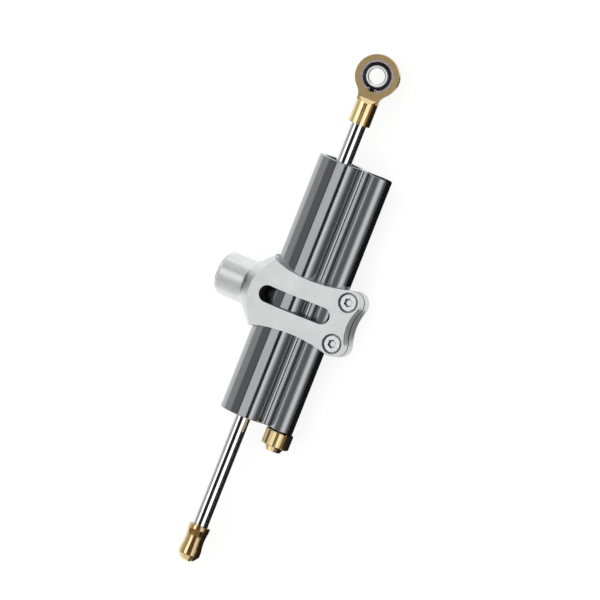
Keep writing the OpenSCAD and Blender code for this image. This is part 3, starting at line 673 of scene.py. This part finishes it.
# Adjuster knob
# A small grooved knob turned and milled from alloy, gold anodised, on the lower end of the bypass
# barrel. A grub screw in one land holds it on the spindle, and it clicks over twenty detents.
knob_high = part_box("adjuster_knob")[1]
knob_sizes = {
    "Radius": 7.0 * MM, "Grooves": 10, "Groove radius": 0.6 * MM, "Groove depth": 1.0 * MM,
    "Length": 7.7 * MM, "Bevel": 0.4 * MM, "Stub radius": 4.8 * MM, "Stub tip radius": 3.6 * MM,
    "Stub length": 2.5 * MM, "Turn": math.radians(14.5),
}
stub_sink = 0.01 * MM
grub_hole_r = 1.25 * MM


def node_maker(name, inputs):
    """Empty geometry tree with named inputs for its sizes, a material input and a mesh output."""
    tree = bpy.data.node_groups.new(name, "GeometryNodeTree")
    for label, value in inputs.items():
        kind = "NodeSocketInt" if isinstance(value, int) else "NodeSocketFloat"
        tree.interface.new_socket(label, in_out="INPUT", socket_type=kind)
    tree.interface.new_socket("Finish", in_out="INPUT", socket_type="NodeSocketMaterial")
    tree.interface.new_socket("Mesh", in_out="OUTPUT", socket_type="NodeSocketGeometry")
    return tree, tree.nodes.new("NodeGroupInput").outputs


def wire(tree, kind, settings=None, **sockets):
    """Adds a geometry node; a socket's value is another node's output or a plain number."""
    node = tree.nodes.new(kind)
    for key, value in (settings or {}).items():
        setattr(node, key, value)
    for label, value in sockets.items():
        socket = node.inputs[int(label[2:])] if label.startswith("in") else node.inputs[
            label.replace("_", " ")]
        if isinstance(value, bpy.types.NodeSocket):
            tree.links.new(value, socket)
        else:
            socket.default_value = value
    return node.outputs


def calc(tree, operation, *values):
    """One Math node."""
    return wire(tree, "ShaderNodeMath", {"operation": operation},
                **{f"in{i}": value for i, value in enumerate(values)})["Value"]


def at_height(tree, height):
    """Point on the tree's own Z axis."""
    return wire(tree, "ShaderNodeCombineXYZ", Z=height)["Vector"]


def made_by_nodes(name, tree, sizes, finish):
    """Runs a geometry tree with these sizes and keeps the result as a plain mesh."""
    piece = bpy.data.objects.new(name, bpy.data.meshes.new(name))
    scene.collection.objects.link(piece)
    maker = piece.modifiers.new("maker", "NODES")
    maker.node_group = tree
    for socket in tree.interface.items_tree:
        if socket.in_out == "INPUT":
            maker[socket.identifier] = finish if socket.name == "Finish" else sizes[socket.name]
    settle(piece)
    bm = bmesh.new()
    bm.from_mesh(piece.data)
    bmesh.ops.remove_doubles(bm, verts=bm.verts, dist=1e-6)
    bmesh.ops.recalc_face_normals(bm, faces=bm.faces)
    bm.to_mesh(piece.data)
    bm.free()
    piece.data.shade_smooth()
    piece.data.set_sharp_from_angle(angle=math.radians(28))
    return piece


def end_mesh(tree, geometry, size):
    """Closes a tree with Realize Instances and Set Material."""
    plain = wire(tree, "GeometryNodeRealizeInstances", Geometry=geometry)["Geometry"]
    painted = wire(tree, "GeometryNodeSetMaterial", Geometry=plain, Material=size["Finish"])
    wire(tree, "NodeGroupOutput", Mesh=painted["Geometry"])


def knob_tree():
    """Drum with bevelled ends and round grooves along its rim, and a tapered stub on its end."""
    tree, size = node_maker("grooved_knob", knob_sizes)
    radius = size["Radius"]
    rim = wire(tree, "GeometryNodeCurvePrimitiveCircle", Resolution=1440, Radius=1.0)["Curve"]
    place = wire(tree, "GeometryNodeInputPosition")["Position"]
    spot = wire(tree, "ShaderNodeSeparateXYZ", Vector=place)
    angle = calc(tree, "ADD", calc(tree, "ARCTAN2", spot["Y"], spot["X"]), size["Turn"])
    half_step = calc(tree, "DIVIDE", math.pi, size["Grooves"])
    from_groove = calc(tree, "WRAP", angle, half_step, calc(tree, "MULTIPLY", half_step, -1.0))
    aside = calc(tree, "SINE", from_groove)
    centre = calc(tree, "ADD", calc(tree, "SUBTRACT", radius, size["Groove depth"]),
                  size["Groove radius"])
    bottom_reach = calc(
        tree, "SUBTRACT", calc(tree, "POWER", size["Groove radius"], 2.0),
        calc(tree, "POWER", calc(tree, "ABSOLUTE", calc(tree, "MULTIPLY", centre, aside)), 2.0))
    bottom_r = calc(tree, "SUBTRACT", calc(tree, "MULTIPLY", centre, calc(tree, "COSINE", from_groove)),
                    calc(tree, "SQRT", calc(tree, "MAXIMUM", bottom_reach, 0.0)))
    in_groove = calc(tree, "LESS_THAN", calc(
        tree, "ABSOLUTE", calc(tree, "MULTIPLY", radius, aside)), size["Groove radius"])
    land_or_groove = calc(tree, "SUBTRACT", radius, calc(
        tree, "MULTIPLY", in_groove, calc(tree, "SUBTRACT", radius, bottom_r)))
    moved = wire(tree, "ShaderNodeVectorMath", {"operation": "SCALE"},
                 Vector=place, Scale=land_or_groove)["Vector"]
    grooved = wire(tree, "GeometryNodeSetPosition", Geometry=rim, Position=moved)["Geometry"]
    near = wire(tree, "GeometryNodeCurvePrimitiveLine", Start=at_height(tree, 0.0),
                End=at_height(tree, size["Bevel"]))
    far = wire(tree, "GeometryNodeCurvePrimitiveLine",
               Start=at_height(tree, calc(tree, "SUBTRACT", size["Length"], size["Bevel"])),
               End=at_height(tree, size["Length"]))
    joined = tree.nodes.new("GeometryNodeJoinGeometry")
    for part in (far, near):
        tree.links.new(part["Curve"], joined.inputs["Geometry"])
    spine_points = wire(tree, "GeometryNodeCurveToPoints", {"mode": "EVALUATED"},
                        Curve=joined.outputs["Geometry"])["Points"]
    spine = wire(tree, "GeometryNodePointsToCurves", Points=spine_points)["Curves"]
    index = wire(tree, "GeometryNodeInputIndex")["Index"]
    at_end = calc(tree, "GREATER_THAN",
                  calc(tree, "ABSOLUTE", calc(tree, "SUBTRACT", index, 1.5)), 1.0)
    narrow = calc(tree, "DIVIDE", calc(tree, "SUBTRACT", radius, size["Bevel"]), radius)
    drawn_in = calc(tree, "SUBTRACT", 1.0, calc(
        tree, "MULTIPLY", at_end, calc(tree, "SUBTRACT", 1.0, narrow)))
    spine = wire(tree, "GeometryNodeSetCurveRadius", Curve=spine, Radius=drawn_in)["Curve"]
    drum = wire(tree, "GeometryNodeCurveToMesh", Curve=spine, Profile_Curve=grooved, Scale=drawn_in,
                Fill_Caps=True)["Mesh"]
    stub = wire(tree, "GeometryNodeMeshCone", Vertices=96, Radius_Top=size["Stub tip radius"],
                Radius_Bottom=size["Stub radius"], Depth=size["Stub length"])["Mesh"]
    sunk = calc(tree, "SUBTRACT", size["Length"], stub_sink)
    stub = wire(tree, "GeometryNodeTransform", Geometry=stub, Translation=at_height(tree, sunk))["Geometry"]
    whole = wire(tree, "GeometryNodeMeshBoolean", {"operation": "UNION"}, Mesh_2=drum)
    tree.links.new(stub, whole["Mesh"].node.inputs["Mesh 2"])
    end_mesh(tree, whole["Mesh"], size)
    return tree


knob = made_by_nodes("gold_adjuster_knob", knob_tree(), knob_sizes, gold)
knob_face = Vector((knob_high.x, small_y, 0))
knob.data.transform(Matrix.Translation(knob_face) @ Matrix.Rotation(-math.pi / 2, 4, "Y"))
grub_hole_turn = math.radians(212.5)
grub_hole_from, grub_hole_to = 2.6 * MM, 8.0 * MM
drill = Matrix.Translation((knob_high.x - knob_sizes["Length"] / 2, small_y, 0)) @ Matrix.Rotation(
    grub_hole_turn, 4, "X") @ Matrix.Translation((0, 0, (grub_hole_from + grub_hole_to) / 2))
bm = bmesh.new()
bmesh.ops.create_cone(bm, cap_ends=True, segments=40, radius1=grub_hole_r, radius2=grub_hole_r,
                      depth=grub_hole_to - grub_hole_from, matrix=drill)
cut_out(knob, bm)
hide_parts("adjuster_knob")
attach(knob, "knob")


# Mounting clamp
# One alloy block, sawn and milled: waisted in plan, windowed over the barrels, split through its two
# ears and turned round the threaded boss. It is glass-bead blasted and clear anodised.
def blasted_silver():
    tree, shader, material = new_finish("blasted_silver", Metallic=1.0)
    beads = grain_pattern(tree, (2600, 2600, 2600), detail=2.0)
    cloud = grain_pattern(tree, (140, 140, 140), detail=3.0)
    tint = tint_by(tree, shader, cloud, (0.74, 0.745, 0.75), (0.82, 0.822, 0.825))
    # Painted shade in the window, the counterbores, the split and the other recesses.
    paint_corner_shade(tree, shader, tint, 3.0 * MM, (0.1, 0.1, 0.1), unshaded_from=0.75)
    gloss_by(tree, shader, beads, 0.36, 0.46)
    relief_by(tree, shader, beads, 0.012 * MM)
    return material


def turned_silver():
    tree, shader, material = new_finish("turned_silver", Metallic=1.0)
    tool_marks = grain_pattern(tree, (110, 5200, 110), detail=3.0)
    cloud = grain_pattern(tree, (140, 140, 140), detail=3.0)
    tint_by(tree, shader, cloud, (0.74, 0.745, 0.75), (0.82, 0.822, 0.825))
    gloss_by(tree, shader, cloud, 0.3, 0.38)
    relief_by(tree, shader, tool_marks, 0.003 * MM)
    return material


# Dark silver for the clamp's inner walls, as painted shade.
def oiled_silver():
    tree, shader, material = new_finish("oiled_silver", Metallic=1.0)
    mottle = grain_pattern(tree, (500, 500, 500), detail=4.0)
    tint_by(tree, shader, mottle, (0.10, 0.10, 0.105), (0.19, 0.19, 0.195))
    gloss_by(tree, shader, mottle, 0.38, 0.5)
    relief_by(tree, shader, mottle, 0.006 * MM)
    return material


# Darker and blotchy silver for the boss's end bevel.
def worn_silver():
    tree, shader, material = new_finish("worn_silver", Metallic=1.0)
    blotches = grain_pattern(tree, (380, 380, 380), detail=3.0)
    tint_by(tree, shader, blotches, (0.36, 0.36, 0.355), (0.72, 0.72, 0.71))
    gloss_by(tree, shader, blotches, 0.42, 0.3)
    relief_by(tree, shader, blotches, 0.03 * MM)
    return material


clamp = machined_copy("silver_clamp", "mounting_clamp", blasted_silver(), 0.4 * MM)
for finish in (turned_silver(), oiled_silver(), worn_silver()):
    clamp.data.materials.append(finish)
clamp_x = -116.9 * MM
turned_from = 20.5 * MM
boss_bevel = 2.2 * MM
rim_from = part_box("mounting_clamp")[1].y - boss_bevel
window_half, window_boss, window_ears = 4.2 * MM, 10.4 * MM, 25.4 * MM
near = 0.15 * MM
counterbore_gap = 0.6 * MM
wall_slope = 0.3
rim_slope = (0.3, 0.95)
bolts_low, bolts_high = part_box("clamp_bolts")
bolt_head_r = 4.25 * MM
bolt_y = (bolts_low.y + bolts_high.y) / 2
bolt_xs = (bolts_low.x + bolt_head_r, bolts_high.x - bolt_head_r)


def inside_face(face):
    """Whether a face is a wall of the window or of a bolt hole, or lies in the barrels' bores."""
    x, y, z = face.center
    along = min(max(y, window_half - window_ears), window_boss - window_half)
    is_wall = abs(face.normal.z) < wall_slope
    in_window = is_wall and math.hypot(x - clamp_x, y - along) < window_half + near
    in_bore = min(math.hypot(y, z) - barrel_r, math.hypot(y - small_y, z) - small_r) < 2 * near
    from_bolt = min(math.hypot(x - bolt_x, y - bolt_y) for bolt_x in bolt_xs)
    in_hole = is_wall and from_bolt < bolt_head_r + counterbore_gap
    return in_window or in_bore or in_hole


def on_rim(face):
    return face.center.y > rim_from and rim_slope[0] < face.normal.y < rim_slope[1]


# The window's walls, the bores and the bolt holes take the dark silver as painted shade; the boss's end
# bevel takes the darker, blotchy silver.
for face in clamp.data.polygons:
    face.material_index = (
        2 if inside_face(face) else 3 if on_rim(face) else int(face.center.y > turned_from))
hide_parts("mounting_clamp")
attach(clamp, "clamp")


# Clamp bolts
# Two zinc-plated socket bolts, sunk in counterbores in the front ear. They close the split so that
# the clamp grips the barrels.
bolt_sizes = {
    "Head radius": bolt_head_r, "Head height": 3.2 * MM, "Bevel": 0.4 * MM, "Key radius": 2.31 * MM,
    "Key depth": 1.9 * MM, "Shank radius": 2.5 * MM,
    "Length": bolts_high.z - bolts_low.z, "Pitch": 21.5 * MM, "Bolts": 2,
}
key_overrun = 1 * MM


def bolt_tree():
    """Row of bolts, each a bevelled head on a plain shank with a hexagonal socket."""
    tree, size = node_maker("socket_bolts", bolt_sizes)

    def bar(sides, radius, tip, low, high):
        """Closed bar from one height to another; its top can be narrower."""
        depth = calc(tree, "SUBTRACT", high, low)
        mesh = wire(tree, "GeometryNodeMeshCone", Vertices=sides, Radius_Top=tip,
                    Radius_Bottom=radius, Depth=depth)["Mesh"]
        return wire(tree, "GeometryNodeTransform", Geometry=mesh,
                    Translation=at_height(tree, low))["Geometry"]

    def combine(operation, first, *others):
        node = tree.nodes.new("GeometryNodeMeshBoolean")
        node.operation = operation
        if operation == "DIFFERENCE":
            tree.links.new(first, node.inputs["Mesh 1"])
        else:
            others = (first, *others)
        for mesh in others:
            tree.links.new(mesh, node.inputs["Mesh 2"])
        return node.outputs["Mesh"]

    head = size["Head radius"]
    top = size["Length"]
    under = calc(tree, "SUBTRACT", top, size["Head height"])
    shoulder = calc(tree, "SUBTRACT", top, size["Bevel"])
    whole = combine(
        "UNION",
        bar(64, head, head, under, shoulder),
        bar(64, head, calc(tree, "SUBTRACT", head, size["Bevel"]), shoulder, top),
        bar(48, size["Shank radius"], size["Shank radius"], 0.0, shoulder))
    key = bar(6, size["Key radius"], size["Key radius"],
              calc(tree, "SUBTRACT", top, size["Key depth"]), calc(tree, "ADD", top, key_overrun))
    bolt = combine("DIFFERENCE", whole, key)
    step = wire(tree, "ShaderNodeCombineXYZ", X=size["Pitch"])["Vector"]
    row = wire(tree, "GeometryNodeMeshLine", Count=size["Bolts"], Offset=step)["Mesh"]
    bolts = wire(tree, "GeometryNodeInstanceOnPoints", Points=row, Instance=bolt)["Instances"]
    end_mesh(tree, bolts, size)
    return tree


def bright_zinc():
    tree, shader, material = new_finish("bright_zinc", Metallic=1.0)
    plating = grain_pattern(tree, (800, 800, 800), detail=3.0)
    tint = tint_by(tree, shader, plating, (0.56, 0.60, 0.63), (0.82, 0.87, 0.90))
    # Painted shade in the sockets and round the heads.
    paint_corner_shade(tree, shader, tint, 1.8 * MM, (0.04, 0.04, 0.045), full_below=0.45, unshaded_from=0.8)
    gloss_by(tree, shader, plating, 0.16, 0.26)
    relief_by(tree, shader, plating, 0.004 * MM)
    return material


bolts = made_by_nodes("zinc_clamp_bolts", bolt_tree(), bolt_sizes, bright_zinc())
bolts.data.transform(Matrix.Translation((bolt_xs[0], bolt_y, bolts_low.z)))
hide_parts("clamp_bolts")
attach(bolts, "clamp")


# Studio
# The damper lies on a white table with its clamp face up. As on a product shoot, each metal has its
# own long softboxes along the rod, and a black card keeps the table out of the metals' far sides.
floor_z = cad_box[0][2]
table_half, table_drop, table_glow = 12.0, 0.02 * MM, 0.85
card_x, card_y, card_lift = (-1.2, 1.0), (-1.6, -0.008), 0.05 * MM
middle = Vector((-114.9, -5.15, 0)) * MM
lean = math.radians(19.5)
tip = math.radians(5.5)
camera_distance = 3.0
photo_scale = 2.06 / MM
photo_size = 600
photo_roll = math.radians(21.6)


def white_table():
    """White to the camera and in reflections, with the object's shadow kept."""
    tree, shader, material = new_finish("white_table", Roughness=0.8)
    speck = grain_pattern(tree, (30, 30, 30))
    tint_by(tree, shader, speck, (0.94, 0.94, 0.94), (0.96, 0.96, 0.96))
    glow = place_node(tree, "ShaderNodeEmission", Strength=1.0)
    ray = place_node(tree, "ShaderNodeLightPath")
    seen = place_node(tree, "ShaderNodeMath", {"operation": "MAXIMUM"})
    seen_through = place_node(tree, "ShaderNodeMath", {"operation": "MAXIMUM"})
    share = place_node(tree, "ShaderNodeMath", {"operation": "MULTIPLY"})
    share.inputs[1].default_value = table_glow
    mix = place_node(tree, "ShaderNodeMixShader")
    tree.links.new(ray.outputs["Is Camera Ray"], seen.inputs[0])
    tree.links.new(ray.outputs["Is Glossy Ray"], seen.inputs[1])
    tree.links.new(seen.outputs[0], seen_through.inputs[0])
    tree.links.new(ray.outputs["Is Transmission Ray"], seen_through.inputs[1])
    tree.links.new(seen_through.outputs[0], share.inputs[0])
    tree.links.new(share.outputs[0], mix.inputs[0])
    tree.links.new(shader.outputs[0], mix.inputs[1])
    tree.links.new(glow.outputs[0], mix.inputs[2])
    tree.links.new(mix.outputs[0], tree.nodes["Material Output"].inputs["Surface"])
    return material


def flat_sheet(name, x_range, y_range, z, material):
    mesh = bpy.data.meshes.new(name)
    (x0, x1), (y0, y1) = x_range, y_range
    mesh.from_pydata([(x0, y0, z), (x1, y0, z), (x1, y1, z), (x0, y1, z)], [], [(0, 1, 2, 3)])
    mesh.materials.append(material)
    sheet = bpy.data.objects.new(name, mesh)
    scene.collection.objects.link(sheet)
    return sheet


def black_velvet(glow=0.0):
    tree, shader, material = new_finish(
        "black_velvet", Roughness=1.0, Specular_IOR_Level=0.0, Emission_Color=(1, 1, 1, 1),
        Emission_Strength=glow)
    pile = grain_pattern(tree, (200, 200, 200))
    tint_by(tree, shader, pile, (0.010, 0.010, 0.011), (0.015, 0.015, 0.016))
    material.cycles.emission_sampling = "NONE"
    return material


def reflector(name, x_range, y_range, lift, material):
    """Sheet just over the table that shows only in the metals."""
    sheet = flat_sheet(name, x_range, y_range, floor_z + lift, material)
    sheet.visible_camera = sheet.visible_diffuse = sheet.visible_shadow = False
    sheet.visible_transmission = False
    return sheet


table_span = (-table_half, table_half)
table = flat_sheet("table", table_span, table_span, floor_z - table_drop, white_table())
card = reflector("black_card", card_x, card_y, card_lift, black_velvet())


def lit_together(name, pieces):
    """Collection of the pieces that a set of lamps is for."""
    group = bpy.data.collections.new(name)
    for piece in pieces:
        group.objects.link(piece)
    return group


def lamp_for(group, name, place, width, length, level, tint=(1, 1, 1)):
    """Area lamp for one group, with its surface's brightness given as a level where 1 is white."""
    lamp = bpy.data.lights.new(name, "AREA")
    lamp.shape = "RECTANGLE"
    lamp.size, lamp.size_y = length, width
    lamp.energy = 4 * length * width * level
    lamp.color = tint
    box = bpy.data.objects.new(name, lamp)
    box.matrix_world = place
    box.visible_camera = False
    box.light_linking.receiver_collection = group
    scene.collection.objects.link(box)


def softboxes(group, *runs, distance=0.9, length=2.4, shift=0.0, crosswise=False):
    """Long lamps, each over (from, to) degrees from straight up: along the rod and towards the knob's
    side, or crosswise and towards the rod end. A shift moves them the long way."""
    long_way = Vector((0, 1, 0)) if crosswise else Vector((1, 0, 0))
    lean_to = Vector((1, 0, 0)) if crosswise else Vector((0, -1, 0))
    for start, end, level, *tint in runs:
        turn = math.radians((start + end) / 2)
        width = 2 * distance * math.tan(math.radians(end - start) / 2)
        out = lean_to * math.sin(turn) + Vector((0, 0, math.cos(turn)))
        place = Matrix.Translation(middle + long_way * shift + out * distance) @ Matrix(
            (long_way, out.cross(long_way), out)).transposed().to_4x4()
        lamp_for(group, f"{group.name}_{start:.0f}", place, width, length, level, *tint)


def board(group, out, span, height, level, distance=1.5):
    """Upright lamp beyond one end or side of the damper, from the table up."""
    out = Vector(out)
    across = Vector((abs(out.y), abs(out.x), 0))
    centre = Vector((middle.x, 0, floor_z + height / 2)) + out * distance + across * sum(span) / 2
    place = Matrix.Translation(centre) @ Matrix(
        (Vector((0, 0, 1)).cross(out), Vector((0, 0, 1)), out)).transposed().to_4x4()
    lamp_for(group, f"{group.name}_board_{out.x:+.0f}_{out.y:+.0f}", place, height,
             span[1] - span[0], level)


def underlight(group, x_range, y_range, level, lift=0.1 * MM):
    """Glowing sheet on the card that only one group mirrors."""
    sheet = reflector("underlight", x_range, y_range, lift, black_velvet(glow=level))
    sheet.light_linking.receiver_collection = group
    return sheet


rod_end_side, nut_side, ear_side = (1, 0, 0), (-1, 0, 0), (0, -1, 0)
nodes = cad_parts
rod_metal = lit_together("rod_metal", [rod])
eye_metal = lit_together("eye_metal", [eye, race, nodes["bearing_circlip"]])
nut_metal = lit_together("nut_metal", [nut])
knob_metal = lit_together("knob_metal", [knob, nodes["knob_grub_screw"]])
silver_metal = lit_together("silver_metal", [clamp, bolts, ball])
bypass_metal = lit_together("bypass_metal", [bypass_barrel])
dark_metal = lit_together("dark_metal", [main_barrel] + [
    piece for name, piece in nodes.items() if name not in ("bearing_circlip", "knob_grub_screw")])
softboxes(dark_metal, (-88, -50, 0.39), (-50, -13, 0.16), (-8.5, 29.5, 0.8), (45, 58, 1.1),
          (58, 66, 0.6), (66, 74, 0.25), (74, 88, 0.1), length=1.6)
softboxes(rod_metal, (-88, -55, 0.35), (-45, -15, 1.05), (30, 68, 1.05), length=1.6)
softboxes(bypass_metal, (-88, -66, 0.9), (-66, -54, 0.85), (-54, -42, 0.42), (-42, -32, 0.24),
          (-32, 6, 0.17), (6, 14, 0.28), (14, 24, 0.56), (24, 52, 1.0), (52, 62, 0.68),
          (62, 72, 0.34), (72, 88, 0.1), length=1.6)
for group in (dark_metal, bypass_metal, rod_metal):
    for side in (rod_end_side, nut_side):
        board(group, side, span=(-1.6, 1.6), height=1.5, level=0.42, distance=1.3)
warm, dull_gold, pale_gold = (1.0, 0.5, 0.1), (1.0, 0.66, 0.25), (1.0, 0.9, 0.62)
softboxes(eye_metal, (-88, -62, 0.42), (-62, -50, 0.4), (-50, -11, 1.1), (-11, 27, 0.06, warm),
          (27, 58, 1.05), (58, 68, 0.75), (68, 88, 0.22, warm))
board(eye_metal, rod_end_side, span=(-0.5, 1.0), height=1.0, level=0.75)
softboxes(nut_metal, (-88, -60, 0.38), (-60, -35, 0.24, pale_gold), (-35, -8, 1.1), (-8, 37, 0.07, warm),
          (37, 60, 0.7), (60, 76, 0.4), (76, 88, 0.07, warm), length=1.7, shift=0.47)
softboxes(nut_metal, (-88, -40, 0.15, dull_gold), (-40, 5, 0.15, dull_gold), (5, 50, 0.12, dull_gold),
          length=0.9, shift=-0.83)
softboxes(knob_metal, (-88, -60, 0.28), (-60, -22, 0.6), (-22, 8, 0.82), (8, 28, 0.52),
          (28, 44, 0.95), (44, 60, 0.6), (60, 78, 0.15, warm))
for group, level in ((nut_metal, 0.58), (knob_metal, 0.7)):
    board(group, nut_side, span=(-0.5, 1.4), height=1.05, level=level)
softboxes(silver_metal, (-88, -58, 0.54), (-58, -12, 0.42), (-12, 23, 0.82), (30, 70, 0.5),
          (70, 88, 0.95), crosswise=True)
board(silver_metal, ear_side, span=(-2.4, 2.4), height=1.2, level=0.38)
# The ears' edges mirror these sheets: a dim one along the clamp's travel, a bright one below each ear
# and a short one below the scallop between them.
travel_x, travel_y = (-200 * MM, -20 * MM), (-90 * MM, -20 * MM)
low_ear_x, scallop_from, scallop_to, high_ear_x = -155 * MM, -122.5 * MM, -111.5 * MM, -80 * MM
ear_y, scallop_y = (-75 * MM, -22 * MM), (-35.5 * MM, -22 * MM)
underlights = [
    underlight(silver_metal, travel_x, travel_y, level=0.12, lift=0.08 * MM),
    underlight(silver_metal, (low_ear_x, scallop_from), ear_y, level=0.85),
    underlight(silver_metal, (scallop_to, high_ear_x), ear_y, level=0.85),
    underlight(silver_metal, (scallop_from, scallop_to), scallop_y, level=0.75)]
lamp_for(lit_together("table_top", [table, card] + underlights), "table_light",
         Matrix.Translation(middle + Vector((0, 0, 1.5))), width=3.0, length=3.0, level=2.0)

scene.world = bpy.data.worlds.new("dim_room")
scene.world.use_nodes = True
room = scene.world.node_tree.nodes["Background"]
room.inputs["Color"].default_value = (1, 1, 1, 1)
room.inputs["Strength"].default_value = 0.02

back = Vector((math.sin(tip), -math.sin(lean) * math.cos(tip), math.cos(lean) * math.cos(tip)))
across = Vector((0, -math.cos(lean), -math.sin(lean)))
upright = back.cross(across)
right = across * math.cos(photo_roll) + upright * math.sin(photo_roll)
up = upright * math.cos(photo_roll) - across * math.sin(photo_roll)
lens = bpy.data.cameras.new("photo_camera")
lens.sensor_width = 36
lens.lens = lens.sensor_width * photo_scale * camera_distance / photo_size
camera = bpy.data.objects.new("photo_camera", lens)
camera.matrix_world = Matrix.Translation(middle + back * camera_distance) @ Matrix(
    (right, up, back)).transposed().to_4x4()
scene.collection.objects.link(camera)
scene.camera = camera
scene.view_settings.view_transform = "Standard"
